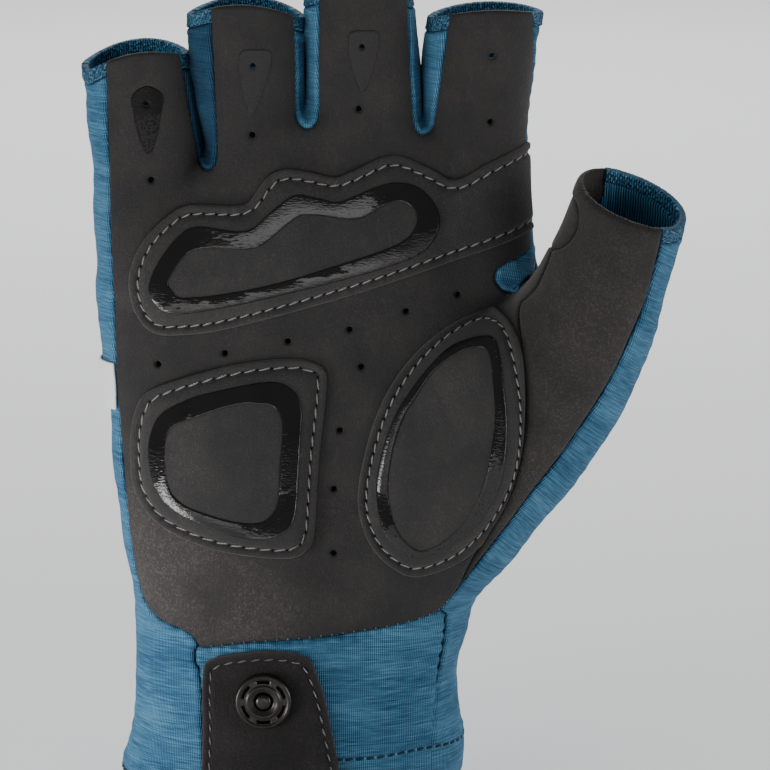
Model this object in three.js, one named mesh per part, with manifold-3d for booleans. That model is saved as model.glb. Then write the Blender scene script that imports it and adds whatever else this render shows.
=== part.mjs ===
// Right-hand paddling glove with open finger ends, in its worn shape.
// Millimetres, +X to the thumb side, -Y out of the palm, +Z from the wrist to the fingertips.
// The origin is the middle of the wrist opening, level with the bottom of the cuff hem.

import * as THREE from 'three';
import { mergeVertices } from 'three/addons/utils/BufferGeometryUtils.js';
import Module from 'manifold-3d';

const wasm = await Module();
wasm.setup();

// Cloth and leather thicknesses and the clearance kept at every seam
const seamGap = 0.3;
const clothWall = 1.5;
const rimWall = 1.9;
const rimProud = 0.2;
const rimHeight = 3;
const hemWall = 2.3;
const hemHeight = 8;
const padThickness = 2;
const filmThickness = 0.45;
const printThickness = 0.4;
const tabThickness = 1.9;
const patchThickness = 0.7;

// Sides of the lofted forms, and the superellipse power of the fingers' and the thumb's sections
const palmSides = 30;
const fingerSides = 14;
const thumbSides = 18;
const fingerSquare = 2.2;
const thumbSquare = 2.15;

// Palm and wrist, one row for each level: width from left to right and depth from front to back.
// square is the superellipse power, and arch lifts the middle of the ring above its ends.
const palmRows = [
  { z: 0, left: -39.8, right: 36.2, front: -20.6, back: 21.4, square: 2.3, arch: 0 },
  { z: 8, left: -38.2, right: 36.2, front: -20.2, back: 21, square: 2.3, arch: 0 },
  { z: 16, left: -36.6, right: 35.2, front: -19.7, back: 20.4, square: 2.3, arch: 0 },
  { z: 25, left: -36.4, right: 35, front: -19.2, back: 19.8, square: 2.35, arch: 0 },
  { z: 34, left: -36.3, right: 37.6, front: -18.6, back: 19, square: 2.4, arch: 0 },
  { z: 43, left: -36.7, right: 38.6, front: -18, back: 18, square: 2.45, arch: 0 },
  { z: 54, left: -38.8, right: 41, front: -17.5, back: 17, square: 2.5, arch: 0 },
  { z: 67, left: -40.1, right: 44, front: -17, back: 16, square: 2.6, arch: 0 },
  { z: 81, left: -41, right: 46.6, front: -16.6, back: 15, square: 2.6, arch: 0 },
  { z: 96, left: -42.4, right: 48.4, front: -16.2, back: 14, square: 2.6, arch: 0 },
  { z: 108, left: -43.2, right: 50, front: -15.5, back: 12.8, square: 2.6, arch: 14 },
  { z: 120.5, left: -43.6, right: 49.8, front: -13, back: 10.4, square: 2.6, arch: 28 },
];
const archMiddle = 10;
const archHalfWidth = 46.7;

// Raised and hollow places on the front of the palm
const palmMounds = [
  { name: 'ball of the thumb', x: 30, z: 76, reachX: 14, reachZ: 22, height: 2.6 },
  { name: 'heel', x: -16, z: 74, reachX: 18, reachZ: 22, height: 2.2 },
  { name: 'knuckle row', x: 0, z: 120, reachX: 34, reachZ: 12, height: 1.4 },
  { name: 'hollow', x: 8, z: 62, reachX: 7, reachZ: 22, height: -1.6 },
];

// Fingers, one row for each level from inside the palm to the open end
const fingers = {
  little: [
    { z: 108, left: -43.1, right: -19, front: -14, back: 11 },
    { z: 124, left: -43.6, right: -19, front: -14, back: 10.8 },
    { z: 137, left: -43.9, right: -19.3, front: -13.2, back: 9.8 },
    { z: 145.5, left: -44.4, right: -21.4, front: -13.8, back: 8.6 },
    { z: 153.5, left: -44.9, right: -22.7, front: -14.8, back: 7.2 },
    { z: 158.8, left: -45.2, right: -23.3, front: -15.6, back: 6.2, arch: 3 },
  ],
  ring: [
    { z: 110, left: -19.5, right: 2, front: -14.6, back: 12 },
    { z: 126, left: -19, right: 1.8, front: -14.6, back: 11.4 },
    { z: 138, left: -18.7, right: 1.6, front: -13.8, back: 10.4 },
    { z: 146, left: -20.8, right: 1.5, front: -14, back: 9.4 },
    { z: 156, left: -22, right: 1.5, front: -15, back: 7.6 },
    { z: 168.4, left: -22.5, right: 1.4, front: -16.8, back: 5.4, arch: 3 },
  ],
  middle: [
    { z: 112, left: 2, right: 26.8, front: -14.8, back: 12.2 },
    { z: 128, left: 2.1, right: 26.8, front: -14.6, back: 11.6 },
    { z: 144, left: 2.2, right: 26.7, front: -13.8, back: 10 },
    { z: 152, left: 2.2, right: 26.2, front: -14.6, back: 8.8 },
    { z: 162, left: 2.2, right: 25.8, front: -15.8, back: 7 },
    { z: 173.2, left: 2.3, right: 25, front: -17.2, back: 5, arch: 3 },
  ],
  index: [
    { z: 110, left: 27.4, right: 50.6, front: -14.2, back: 11.8 },
    { z: 126, left: 27.4, right: 50.2, front: -14.2, back: 11.2 },
    { z: 144, left: 27.4, right: 49.4, front: -13.4, back: 9.4 },
    { z: 152, left: 27.1, right: 49.8, front: -14.1, back: 8.2 },
    { z: 160, left: 26.9, right: 50.8, front: -15, back: 6.8 },
    { z: 168, left: 27.3, right: 52, front: -16.1, back: 5.4, arch: 3 },
  ],
};

// Thumb, one row for each section of its bent middle line, from inside the wrist to the open end.
// drop is how far the right end of the section turns down, and rise how far its back turns up.
const thumbRows = [
  { x: 18, y: -2, z: 34, halfWidth: 10, halfDepth: 14, drop: 38, rise: 8 },
  { x: 25.4, y: -3.5, z: 51.8, halfWidth: 17.8, halfDepth: 15, drop: 38, rise: 10 },
  { x: 36.4, y: -7, z: 69.2, halfWidth: 19.8, halfDepth: 15.4, drop: 34, rise: 11 },
  { x: 47.2, y: -10.5, z: 87.2, halfWidth: 21.5, halfDepth: 14.8, drop: 28, rise: 12 },
  { x: 60.4, y: -15, z: 102.7, halfWidth: 15.5, halfDepth: 14, drop: 21, rise: 15 },
  { x: 66.6, y: -20, z: 118, halfWidth: 12.8, halfDepth: 12, drop: 18, rise: 19 },
  { x: 70.3, y: -25.3, z: 132.2, halfWidth: 11.8, halfDepth: 10.2, drop: 21, rise: 21 },
];

// Gores between the fingers: the U of the visible strip and its two edges at the top
const goreTop = 174;
const gores = [
  { name: 'little_ring', left: -21.2, right: -16.3, bottom: 136, leftTop: -26.6, rightTop: -17.4 },
  { name: 'ring_middle', left: 0.5, right: 5, bottom: 145, leftTop: 0.2, rightTop: 5.2 },
  { name: 'middle_index', left: 24.6, right: 29.6, bottom: 143.3, leftTop: 23.4, rightTop: 33.4 },
];
const goreCurve = 3.4;
const goreSteps = 6;

// Seams behind the gores and behind the thumb leather: depth at one height, and the lean above it
const goreSeam = { y: 4, z: 136, lean: -0.22 };
const thumbSeam = { y: -2, z: 45, lean: -0.24 };
const palmBack = -2;

// Outlines seen from the front, as places across and up
const palmOutline = [
  { x: -40, z: 190 }, { x: -40.1, z: 150 }, { x: -39.6, z: 130 }, { x: -38.8, z: 96 },
  { x: -37.6, z: 70 }, { x: -36.4, z: 55 }, { x: -34, z: 39.3 }, { x: -26, z: 34.2 },
  { x: -22.3, z: 31.8 }, { x: -17.5, z: 34.1 }, { x: -4.7, z: 35.1 }, { x: 11.8, z: 36.6 },
  { x: 26.3, z: 38.7 }, { x: 32.8, z: 41.6 }, { x: 39.2, z: 56.9 }, { x: 45.1, z: 66.8 },
  { x: 48, z: 77.8 }, { x: 48.6, z: 88.6 }, { x: 48, z: 99.4 }, { x: 46.5, z: 107.8 },
  { x: 50.1, z: 111.5 }, { x: 51.7, z: 114.4 }, { x: 54.4, z: 121.1 }, { x: 52.4, z: 120.6 },
  { x: 49.8, z: 114.3 }, { x: 46.5, z: 109.9 }, { x: 44.1, z: 110.3 }, { x: 42.6, z: 113 },
  { x: 43.8, z: 115.6 }, { x: 49.3, z: 117.4 }, { x: 49.4, z: 130 }, { x: 48.3, z: 142 },
  { x: 48.8, z: 152 }, { x: 49.4, z: 164 }, { x: 48.6, z: 190 },
];
const gussetOutline = [
  { x: 55, z: 145 }, { x: 55, z: 134 }, { x: 53.2, z: 126 }, { x: 51.6, z: 119.4 },
  { x: 54.4, z: 121.1 }, { x: 56.3, z: 122.8 }, { x: 58.4, z: 126 }, { x: 58.9, z: 131.2 },
  { x: 59.8, z: 134.3 }, { x: 60.2, z: 145 },
];
const thumbOutline = [
  { x: 48, z: 145 }, { x: 44, z: 108 }, { x: 42, z: 70 }, { x: 31, z: 47 },
  { x: 32.6, z: 42 }, { x: 40.4, z: 54 }, { x: 50.1, z: 67.9 }, { x: 61.4, z: 84.3 },
  { x: 67.8, z: 96.4 }, { x: 73.3, z: 108 }, { x: 76.2, z: 118.5 }, { x: 77.8, z: 127 },
  { x: 79, z: 145 },
];
const cuffOutline = [
  { x: -22.3, z: 46 }, { x: -22.3, z: 31.5 }, { x: -21, z: 24 }, { x: -20.4, z: -12 },
  { x: 29, z: -12 }, { x: 29, z: 14 }, { x: 31, z: 27.5 }, { x: 33, z: 46 },
];
const tabOutline = [
  { x: -20.2, z: -2 }, { x: -16.4, z: -6.5 }, { x: 7.2, z: -6.5 }, { x: 10.6, z: -2 },
  { x: 8.6, z: 9 }, { x: 6, z: 21.5 }, { x: 3.2, z: 30.2 }, { x: -0.4, z: 32.3 },
  { x: -7, z: 32.5 }, { x: -14, z: 31.6 }, { x: -18.6, z: 30 }, { x: -20.3, z: 26 },
];

// Pad outlines, drawn as one smooth closed curve through a few places
const padSteps = 30;
const knucklePad = {
  curve: [
    { x: 33.9, z: 134.3 }, { x: 20, z: 139.6 }, { x: 9, z: 135.2 }, { x: -2, z: 136.5 },
    { x: -10.6, z: 129.6 }, { x: -23.6, z: 128.4 }, { x: -33.2, z: 120 }, { x: -35, z: 109 },
    { x: -30, z: 101.4 }, { x: -20, z: 101.8 }, { x: 8, z: 109 }, { x: 31, z: 116.6 },
  ],
};
const knuckleStrap = [
  { x: 28, z: 136.6 }, { x: 28, z: 115.6 }, { x: 38.5, z: 119 }, { x: 49, z: 122.7 },
  { x: 48.4, z: 141.4 }, { x: 40.9, z: 137.9 }, { x: 33.9, z: 134.3 },
];
const heelPad = {
  curve: [
    { x: 1, z: 96.2 }, { x: -12, z: 95.4 }, { x: -28, z: 90.4 }, { x: -34.8, z: 82.5 },
    { x: -34.8, z: 67.6 }, { x: -27, z: 58.2 }, { x: -12, z: 53.8 }, { x: -1.6, z: 53.4 },
    { x: 3.3, z: 58 }, { x: 4.8, z: 75 }, { x: 6, z: 91.6 },
  ],
};
const thenarPad = {
  curve: [
    { x: 41.6, z: 106.3 }, { x: 31, z: 102.6 }, { x: 21.6, z: 93 }, { x: 15, z: 77.6 },
    { x: 13.2, z: 63.4 }, { x: 17.6, z: 53.6 }, { x: 26, z: 49.2 }, { x: 37, z: 54.2 },
    { x: 46, z: 67 }, { x: 49.3, z: 84 }, { x: 47.6, z: 100 },
  ],
};

// Raised glossy bands: a closed middle line and a width, on top of each pad
const knuckleBand = {
  width: 4.2,
  curve: [
    { x: 27.6, z: 129 }, { x: 21.2, z: 132.2 }, { x: 11, z: 128.6 }, { x: 0, z: 129.4 },
    { x: -8, z: 122.8 }, { x: -21.6, z: 122.4 }, { x: -28.6, z: 114 }, { x: -26.6, z: 108.2 },
    { x: -14, z: 109.6 }, { x: 10, z: 115.6 }, { x: 25, z: 120.8 },
  ],
};
const heelBand = {
  width: 3.8,
  curve: [
    { x: -3, z: 89 }, { x: -17, z: 87.6 }, { x: -28, z: 81.8 }, { x: -30, z: 71 },
    { x: -23, z: 63.6 }, { x: -9.6, z: 59.6 }, { x: -2.6, z: 63 }, { x: -1.6, z: 74 },
    { x: -0.8, z: 85.6 },
  ],
};
const thenarBand = {
  width: 2.5,
  curve: [
    { x: 40.2, z: 101.4 }, { x: 32.4, z: 97.8 }, { x: 24, z: 87.6 }, { x: 19, z: 74.6 },
    { x: 19.2, z: 61.8 }, { x: 25.6, z: 54.8 }, { x: 34.6, z: 59.6 }, { x: 41.8, z: 71.6 },
    { x: 43.4, z: 86 }, { x: 42.2, z: 97.8 },
  ],
};

// Teardrop grip prints on the finger fronts, wide end up
const prints = [
  { name: 'little', x: -30.9, top: 154.4, tip: 139.6, halfWidth: 3.3 },
  { name: 'ring', x: -8.3, top: 162.1, tip: 148.4, halfWidth: 3.4 },
  { name: 'middle', x: 14.4, top: 166.2, tip: 153, halfWidth: 3.2 },
];
const printSteps = 16;
const printFullness = { tip: 0.5, top: 1.25 };

// Air holes punched through the palm leather
const holeRadius = 0.65;
const holeSides = 6;
const airHoles = [
  { x: -30.5, z: 134.3 }, { x: -9, z: 144 }, { x: -8.7, z: 158.7 }, { x: 13.4, z: 149.5 },
  { x: 14.1, z: 162.7 }, { x: 41.3, z: 160.7 }, { x: 41.1, z: 146.6 }, { x: -31.2, z: 150.5 },
  { x: -29.5, z: 94.7 }, { x: -15.1, z: 97.6 }, { x: -1.7, z: 100.2 }, { x: 11.4, z: 102.7 },
  { x: 23.4, z: 106.6 }, { x: 34.4, z: 109.9 }, { x: 13.9, z: 94.7 }, { x: 9.3, z: 80.8 },
  { x: 8, z: 67.8 }, { x: 7.9, z: 53.7 },
];

// Metal snap on the pull tab
const snap = { x: -7.3, z: 22.1, radius: 6.1, thickness: 1, bore: 2.4, bevel: 0.3, sides: 30 };
const snapSlot = { count: 6, radius: 4.75, length: 2.9, width: 0.6, turn: 30 };
const snapCentre = { radius: 2.1, height: 1.3, shoulder: 0.8, crown: 1.15, crownRadius: 1.6, sides: 18 };
const snapLevel = 25;

// Woven patch on the little-finger side of the hand
const patch = { right: -38.6, front: -9, back: 5, bottom: 83.7, top: 94 };

// How far cutters reach past what they cut
const frontReach = -60;
const throughReach = 40;
const tipReach = 8;
const wristReach = 14;
const cutterSize = 300;

const radians = THREE.MathUtils.degToRad;

// Closed geometry to a solid, with its faces turned out
function solidOf(geometry) {
  geometry.deleteAttribute('normal');
  geometry.deleteAttribute('uv');
  const merged = mergeVertices(geometry, 1e-4);
  const vertices = new Float32Array(merged.attributes.position.array);
  const triangles = new Uint32Array(merged.index.array);
  const a = new THREE.Vector3();
  const b = new THREE.Vector3();
  const c = new THREE.Vector3();
  let volume = 0;
  for (let i = 0; i < triangles.length; i += 3) {
    a.fromArray(vertices, 3 * triangles[i]);
    b.fromArray(vertices, 3 * triangles[i + 1]);
    c.fromArray(vertices, 3 * triangles[i + 2]);
    volume += a.dot(b.cross(c));
  }
  if (volume < 0) {
    for (let i = 0; i < triangles.length; i += 3) {
      const second = triangles[i + 1];
      triangles[i + 1] = triangles[i + 2];
      triangles[i + 2] = second;
    }
  }
  return new wasm.Manifold(new wasm.Mesh({ numProp: 3, vertProperties: vertices, triVerts: triangles }));
}

// Faces that close a ring with an even number of points, by rungs from its front to its back,
// so that an arched end keeps its arch in the middle
function capFaces(sides) {
  const faces = [];
  for (let rung = 0; rung < sides / 2; rung += 1) {
    const corners = [rung, rung + 1, sides - rung - 1, (sides - rung) % sides];
    const halves = [[corners[0], corners[1], corners[2]], [corners[0], corners[2], corners[3]]];
    faces.push(...halves.filter((face) => new Set(face).size === 3));
  }
  return faces;
}

// Skin over a row of rings with the same number of points, closed at both ends
function loft(rings) {
  const sides = rings[0].length;
  const points = rings.flat();
  const faces = [];
  for (let level = 0; level + 1 < rings.length; level += 1) {
    for (let side = 0; side < sides; side += 1) {
      const here = level * sides + side;
      const next = level * sides + (side + 1) % sides;
      faces.push(here, next, next + sides, here, next + sides, here + sides);
    }
  }
  const top = (rings.length - 1) * sides;
  for (const [a, b, c] of capFaces(sides)) {
    faces.push(a, c, b, top + a, top + b, top + c);
  }
  const geometry = new THREE.BufferGeometry().setFromPoints(points);
  geometry.setIndex(faces);
  return solidOf(geometry);
}

// Signed power that shapes a superellipse
function rounded(value, square) {
  return Math.sign(value) * Math.abs(value) ** (2 / square);
}

// How far the front of the palm stands out at a place
function moundAt(x, z) {
  let height = 0;
  for (const mound of palmMounds) {
    const across = (x - mound.x) / mound.reachX;
    const along = (z - mound.z) / mound.reachZ;
    height += mound.height * Math.exp(-across * across - along * along);
  }
  return height;
}

// Ring of the palm or of a finger at one row, grown outwards by a distance
function levelRing(row, grow, sides, isPalm) {
  const middleX = (row.left + row.right) / 2;
  const middleY = (row.front + row.back) / 2;
  const halfWidth = (row.right - row.left) / 2;
  const halfDepth = (row.back - row.front) / 2;
  const arch = row.arch ?? 0;
  const ring = [];
  for (let side = 0; side < sides; side += 1) {
    const angle = 2 * Math.PI * side / sides;
    const across = rounded(Math.cos(angle), row.square ?? fingerSquare);
    const deep = rounded(Math.sin(angle), row.square ?? fingerSquare);
    const x = middleX + (halfWidth + grow) * across;
    const archMid = isPalm ? archMiddle : middleX;
    const archHalf = isPalm ? archHalfWidth : halfWidth;
    const z = row.z + arch * (1 - ((middleX + halfWidth * across - archMid) / archHalf) ** 2);
    let y = middleY + (halfDepth + grow) * deep;
    if (isPalm && deep < 0) {
      y -= moundAt(x, z) * Math.sqrt(-deep);
    }
    ring.push(new THREE.Vector3(x, y, z));
  }
  return ring;
}

// Ring of the thumb at one row
function thumbRing(row, grow) {
  const drop = radians(row.drop);
  const rise = radians(row.rise);
  const across = new THREE.Vector3(Math.cos(drop), 0, -Math.sin(drop));
  const tilt = Math.sin(rise);
  const deep = new THREE.Vector3(Math.sin(drop) * tilt, Math.cos(rise), Math.cos(drop) * tilt);
  const ring = [];
  for (let side = 0; side < thumbSides; side += 1) {
    const angle = 2 * Math.PI * side / thumbSides;
    const point = new THREE.Vector3(row.x, row.y, row.z);
    point.addScaledVector(across, (row.halfWidth + grow) * rounded(Math.cos(angle), thumbSquare));
    point.addScaledVector(deep, (row.halfDepth + grow) * rounded(Math.sin(angle), thumbSquare));
    ring.push(point);
  }
  return ring;
}

// Direction in which the thumb's open end faces
function thumbOut() {
  const row = thumbRows[thumbRows.length - 1];
  const drop = radians(row.drop);
  const rise = radians(row.rise);
  const up = Math.cos(rise);
  return new THREE.Vector3(Math.sin(drop) * up, -Math.sin(rise), Math.cos(drop) * up);
}

function movedRing(ring, direction, distance) {
  return ring.map((point) => point.clone().addScaledVector(direction, distance));
}

// The whole hand form, grown by a distance and drawn out at its six open ends
function handForm(grow, reach) {
  const up = new THREE.Vector3(0, 0, 1);
  const palmRings = palmRows.map((row) => levelRing(row, grow, palmSides, true));
  const top = palmRings.length - 1;
  palmRings[top] = movedRing(palmRings[top], up, Math.min(grow, 0));
  if (reach > 0) {
    palmRings.unshift(movedRing(palmRings[0], up, -wristReach));
  }
  let form = loft(palmRings);
  for (const rows of Object.values(fingers)) {
    const rings = rows.map((row) => levelRing(row, grow, fingerSides, false));
    if (reach > 0) {
      rings.push(movedRing(rings[rings.length - 1], up, reach));
    }
    form = form.add(loft(rings));
  }
  const rings = thumbRows.map((row) => thumbRing(row, grow));
  if (reach > 0) {
    rings.push(movedRing(rings[rings.length - 1], thumbOut(), reach));
  }
  return form.add(loft(rings));
}

// Outline moved outwards by a distance, or inwards where it is negative
function grownOutline(outline, distance) {
  let area = 0;
  outline.forEach((point, i) => {
    const next = outline[(i + 1) % outline.length];
    area += point.x * next.z - next.x * point.z;
  });
  const turn = Math.sign(area);
  return outline.map((point, i) => {
    const before = outline[(i + outline.length - 1) % outline.length];
    const after = outline[(i + 1) % outline.length];
    const inward = new THREE.Vector2(point.x - before.x, point.z - before.z).normalize();
    const onward = new THREE.Vector2(after.x - point.x, after.z - point.z).normalize();
    const first = new THREE.Vector2(inward.y, -inward.x).multiplyScalar(turn);
    const second = new THREE.Vector2(onward.y, -onward.x).multiplyScalar(turn);
    const mitre = Math.max(1 + first.dot(second), 0.5);
    const x = point.x + distance * (first.x + second.x) / mitre;
    const z = point.z + distance * (first.y + second.y) / mitre;
    return { x, z };
  });
}

// Outline pushed from in front of the hand back to a depth that may change with height
function prism(outline, backAt) {
  const shape = new THREE.Shape(outline.map((point) => new THREE.Vector2(point.x, point.z)));
  const geometry = new THREE.ExtrudeGeometry(shape, { depth: 1, bevelEnabled: false });
  const position = geometry.attributes.position;
  for (let i = 0; i < position.count; i += 1) {
    const x = position.getX(i);
    const z = position.getY(i);
    const y = frontReach + position.getZ(i) * (backAt(z) - frontReach);
    position.setXYZ(i, x, y, z);
  }
  return solidOf(geometry);
}

// Smooth closed curve through a few places
function smoothOutline(curve) {
  const places = curve.map((point) => new THREE.Vector3(point.x, 0, point.z));
  const line = new THREE.CatmullRomCurve3(places, true, 'centripetal');
  return line.getSpacedPoints(padSteps).slice(0, padSteps);
}

// Everything from below the wrist up to a level
function slabBelow(top) {
  const geometry = new THREE.BoxGeometry(cutterSize, cutterSize, top + wristReach);
  geometry.translate(0, 0, (top - wristReach) / 2);
  return solidOf(geometry);
}

// The materials of the glove
const suede = new THREE.MeshStandardMaterial({ color: 0x383433, roughness: 0.9, metalness: 0 });
const padSuede = new THREE.MeshStandardMaterial({ color: 0x332f2f, roughness: 0.88, metalness: 0 });
const gloss = new THREE.MeshStandardMaterial({ color: 0x141416, roughness: 0.2, metalness: 0 });
const knit = new THREE.MeshStandardMaterial({ color: 0x3a759c, roughness: 0.8, metalness: 0 });
const darkKnit = new THREE.MeshStandardMaterial({ color: 0x2c628c, roughness: 0.8, metalness: 0 });
const binding = new THREE.MeshStandardMaterial({ color: 0x2f6f96, roughness: 0.85, metalness: 0 });
const blackMetal = new THREE.MeshStandardMaterial({ color: 0x1c1c1e, roughness: 0.35, metalness: 0.8 });
const white = new THREE.MeshStandardMaterial({ color: 0xdcdcda, roughness: 0.8, metalness: 0 });

const group = new THREE.Group();

// A finished solid becomes a named mesh; cutting may leave crumbs, and the main body is kept
function place(name, solid, material) {
  const bodies = solid.decompose();
  bodies.sort((first, second) => second.volume() - first.volume());
  const { vertProperties, triVerts } = bodies[0].getMesh();
  const geometry = new THREE.BufferGeometry();
  geometry.setAttribute('position', new THREE.BufferAttribute(vertProperties, 3));
  geometry.setIndex(new THREE.BufferAttribute(triVerts, 1));
  geometry.computeVertexNormals();
  const mesh = new THREE.Mesh(geometry, material);
  mesh.name = name;
  group.add(mesh);
}

// Depth to which each panel's outline is pushed back
const goreBack = (z) => goreSeam.y + goreSeam.lean * (z - goreSeam.z);
const thumbBack = (z) => thumbSeam.y + thumbSeam.lean * Math.max(z - thumbSeam.z, 0);
const palmBackAt = () => palmBack;
const throughBack = () => throughReach;

// The cloth shell of the whole glove, between the outer and the inner form
const outer = handForm(0, 0);
const shell = outer.subtract(handForm(-clothWall, tipReach));

// Outline of the gore between two fingers, a U with leaning sides
function goreOutline(gore) {
  const middle = (gore.left + gore.right) / 2;
  const half = (gore.right - gore.left) / 2;
  const points = [{ x: gore.rightTop, z: goreTop }, { x: gore.leftTop, z: goreTop }];
  for (let step = 0; step <= goreSteps; step += 1) {
    const angle = Math.PI * (1 + step / goreSteps);
    points.push({ x: middle + half * Math.cos(angle), z: gore.bottom + goreCurve * (1 + Math.sin(angle)) });
  }
  return points;
}

// Bound edge at an open end, cut off where the leather runs through to the opening
const rimCutters = [];
function rimTube(tipRing, out, panelCutters) {
  const below = movedRing(tipRing(rimProud), out, -rimHeight);
  const inside = tipRing(-rimWall);
  const tube = loft([below, tipRing(rimProud)]);
  const bore = loft([movedRing(inside, out, -rimHeight - 1), movedRing(inside, out, 1)]);
  const cutRing = tipRing(seamGap);
  rimCutters.push(loft([movedRing(cutRing, out, -rimHeight - seamGap), movedRing(cutRing, out, tipReach)]));
  return panelCutters.reduce((solid, cutter) => solid.subtract(cutter), tube.subtract(bore));
}

// Each panel is kept off the ones cut before it by the seam gap
const gorePrisms = gores.map((gore) => prism(goreOutline(gore), goreBack));
const goreCutters = gores.map((gore) => prism(
  grownOutline(goreOutline(gore), seamGap),
  (z) => goreBack(z) + seamGap,
));
const withoutGores = (solid) => gorePrisms.reduce((rest, gore) => rest.subtract(gore), solid);
const palmPrism = prism(palmOutline, palmBackAt);
const palmCutter = withoutGores(prism(grownOutline(palmOutline, seamGap), () => palmBack + seamGap));
const gussetPrism = prism(gussetOutline, throughBack);
const gussetCutter = prism(grownOutline(gussetOutline, seamGap), throughBack);
const thumbPrism = prism(thumbOutline, thumbBack);
const thumbCutter = prism(grownOutline(thumbOutline, seamGap), (z) => thumbBack(z) + seamGap);
const cuffPrism = prism(cuffOutline, palmBackAt);
const cuffCutter = prism(grownOutline(cuffOutline, seamGap), () => palmBack + seamGap);

// Palm leather with the four finger fronts in one piece, punched with air holes
const punches = airHoles.map((hole) => {
  const punch = new THREE.CylinderGeometry(holeRadius, holeRadius, throughReach, holeSides);
  punch.translate(hole.x, palmBack - throughReach / 2, hole.z);
  return solidOf(punch);
});
let palm = shell.intersect(palmPrism);
goreCutters.forEach((cutter) => {
  palm = palm.subtract(cutter);
});
punches.forEach((punch) => {
  palm = palm.subtract(punch);
});
place('palm_panel', palm, suede);

// Leather strip on the inner side of the thumb, and the thumb's leather front
const gusset = shell.intersect(gussetPrism).subtract(palmCutter);
place('thumb_gusset', gusset, suede);
const thumbFront = shell.intersect(thumbPrism).subtract(palmCutter).subtract(gussetCutter);
place('thumb_panel', thumbFront, suede);

// Bound edges of the knit at the finger and thumb openings
const up = new THREE.Vector3(0, 0, 1);
for (const [name, rows] of Object.entries(fingers)) {
  const tip = rows[rows.length - 1];
  const rim = rimTube((grow) => levelRing(tip, grow, fingerSides, false), up, [palmCutter]);
  place('rim_' + name, rim, binding);
}
const thumbTip = thumbRows[thumbRows.length - 1];
const thumbRim = rimTube((grow) => thumbRing(thumbTip, grow), thumbOut(), [thumbCutter, gussetCutter]);
place('rim_thumb', thumbRim, binding);

// Knit gores between the fingers
gores.forEach((gore, i) => {
  let strip = shell.intersect(gorePrisms[i]);
  rimCutters.forEach((cutter) => {
    strip = strip.subtract(cutter);
  });
  place('fourchette_' + gore.name, strip, darkKnit);
});

// Front of the cuff, and the folded hem round the wrist
const hemCutter = slabBelow(hemHeight + seamGap);
const cuffFront = shell.intersect(cuffPrism).subtract(palmCutter).subtract(thumbCutter);
place('cuff_front', cuffFront.subtract(hemCutter), knit);
const hem = outer.subtract(handForm(-hemWall, tipReach)).intersect(slabBelow(hemHeight));
place('cuff_hem', hem, knit);

// Back of the hand, the outer side of the thumb and the rest of the cuff in one knit piece
let back = shell.subtract(hemCutter);
for (const cutter of [palmCutter, gussetCutter, thumbCutter, cuffCutter, ...goreCutters, ...rimCutters]) {
  back = back.subtract(cutter);
}
place('back_panel', back, knit);

// A layer lying over the glove between two heights above its surface
function layer(low, high) {
  return handForm(high, tipReach).subtract(handForm(low, tipReach + 1));
}

// Padded leather patches on the palm
const padTop = seamGap + padThickness;
const padLayer = layer(seamGap, padTop);
const knuckleBody = prism(smoothOutline(knucklePad.curve), palmBackAt).add(prism(knuckleStrap, palmBackAt));
place('knuckle_pad', padLayer.intersect(knuckleBody), padSuede);
place('heel_pad', padLayer.intersect(prism(smoothOutline(heelPad.curve), palmBackAt)), padSuede);
place('thenar_pad', padLayer.intersect(prism(smoothOutline(thenarPad.curve), palmBackAt)), padSuede);

// Glossy bands on the pads
const filmLayer = layer(padTop + seamGap, padTop + seamGap + filmThickness);
const bands = { knuckle_band: knuckleBand, heel_band: heelBand, thenar_band: thenarBand };
for (const [name, band] of Object.entries(bands)) {
  const line = smoothOutline(band.curve);
  const outside = prism(grownOutline(line, band.width / 2), palmBackAt);
  const inside = prism(grownOutline(line, -band.width / 2), () => palmBack + 1);
  place(name, filmLayer.intersect(outside).subtract(inside), gloss);
}

// Glossy teardrops on three fingertips, with the air hole carried through
const printLayer = layer(seamGap, seamGap + printThickness);
for (const print of prints) {
  const length = print.top - print.tip;
  const outline = [];
  for (let step = 0; step < printSteps; step += 1) {
    const angle = 2 * Math.PI * step / printSteps;
    const along = (1 + Math.cos(angle)) / 2;
    const fullness = THREE.MathUtils.lerp(printFullness.tip, printFullness.top, along);
    const across = Math.sin(angle) * print.halfWidth * fullness;
    outline.push({ x: print.x + across, z: print.tip + length * along });
  }
  let drop = printLayer.intersect(prism(outline, palmBackAt));
  punches.forEach((punch) => {
    drop = drop.subtract(punch);
  });
  place('grip_print_' + print.name, drop, gloss);
}

// Leather pull tab over the front of the cuff, reaching past the hem
const tabLayer = layer(seamGap, seamGap + tabThickness);
place('pull_tab', tabLayer.intersect(prism(tabOutline, palmBackAt)), padSuede);

// Snap on the tab: a flat slotted ring and the domed centre in it
const cuffRow = palmRows.find((row) => row.z === snapLevel);
const snapBackY = cuffRow.front - tabThickness - 3 * seamGap;
const ringProfile = [
  [snap.bore, 0], [snap.radius - snap.bevel, 0], [snap.radius, snap.bevel],
  [snap.radius, snap.thickness - snap.bevel], [snap.radius - snap.bevel, snap.thickness],
  [snap.bore, snap.thickness], [snap.bore, 0],
].map(([r, h]) => new THREE.Vector2(r, h));
const ringGeometry = new THREE.LatheGeometry(ringProfile, snap.sides);
ringGeometry.rotateX(Math.PI);
ringGeometry.translate(snap.x, snapBackY, snap.z);
let snapRing = solidOf(ringGeometry);
for (let i = 0; i < snapSlot.count; i += 1) {
  const slot = new THREE.BoxGeometry(snapSlot.length, throughReach, snapSlot.width);
  slot.translate(0, 0, snapSlot.radius);
  slot.rotateY(2 * Math.PI * i / snapSlot.count + radians(snapSlot.turn));
  slot.translate(snap.x, snapBackY, snap.z);
  snapRing = snapRing.subtract(solidOf(slot));
}
place('snap_ring', snapRing, blackMetal);
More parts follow.
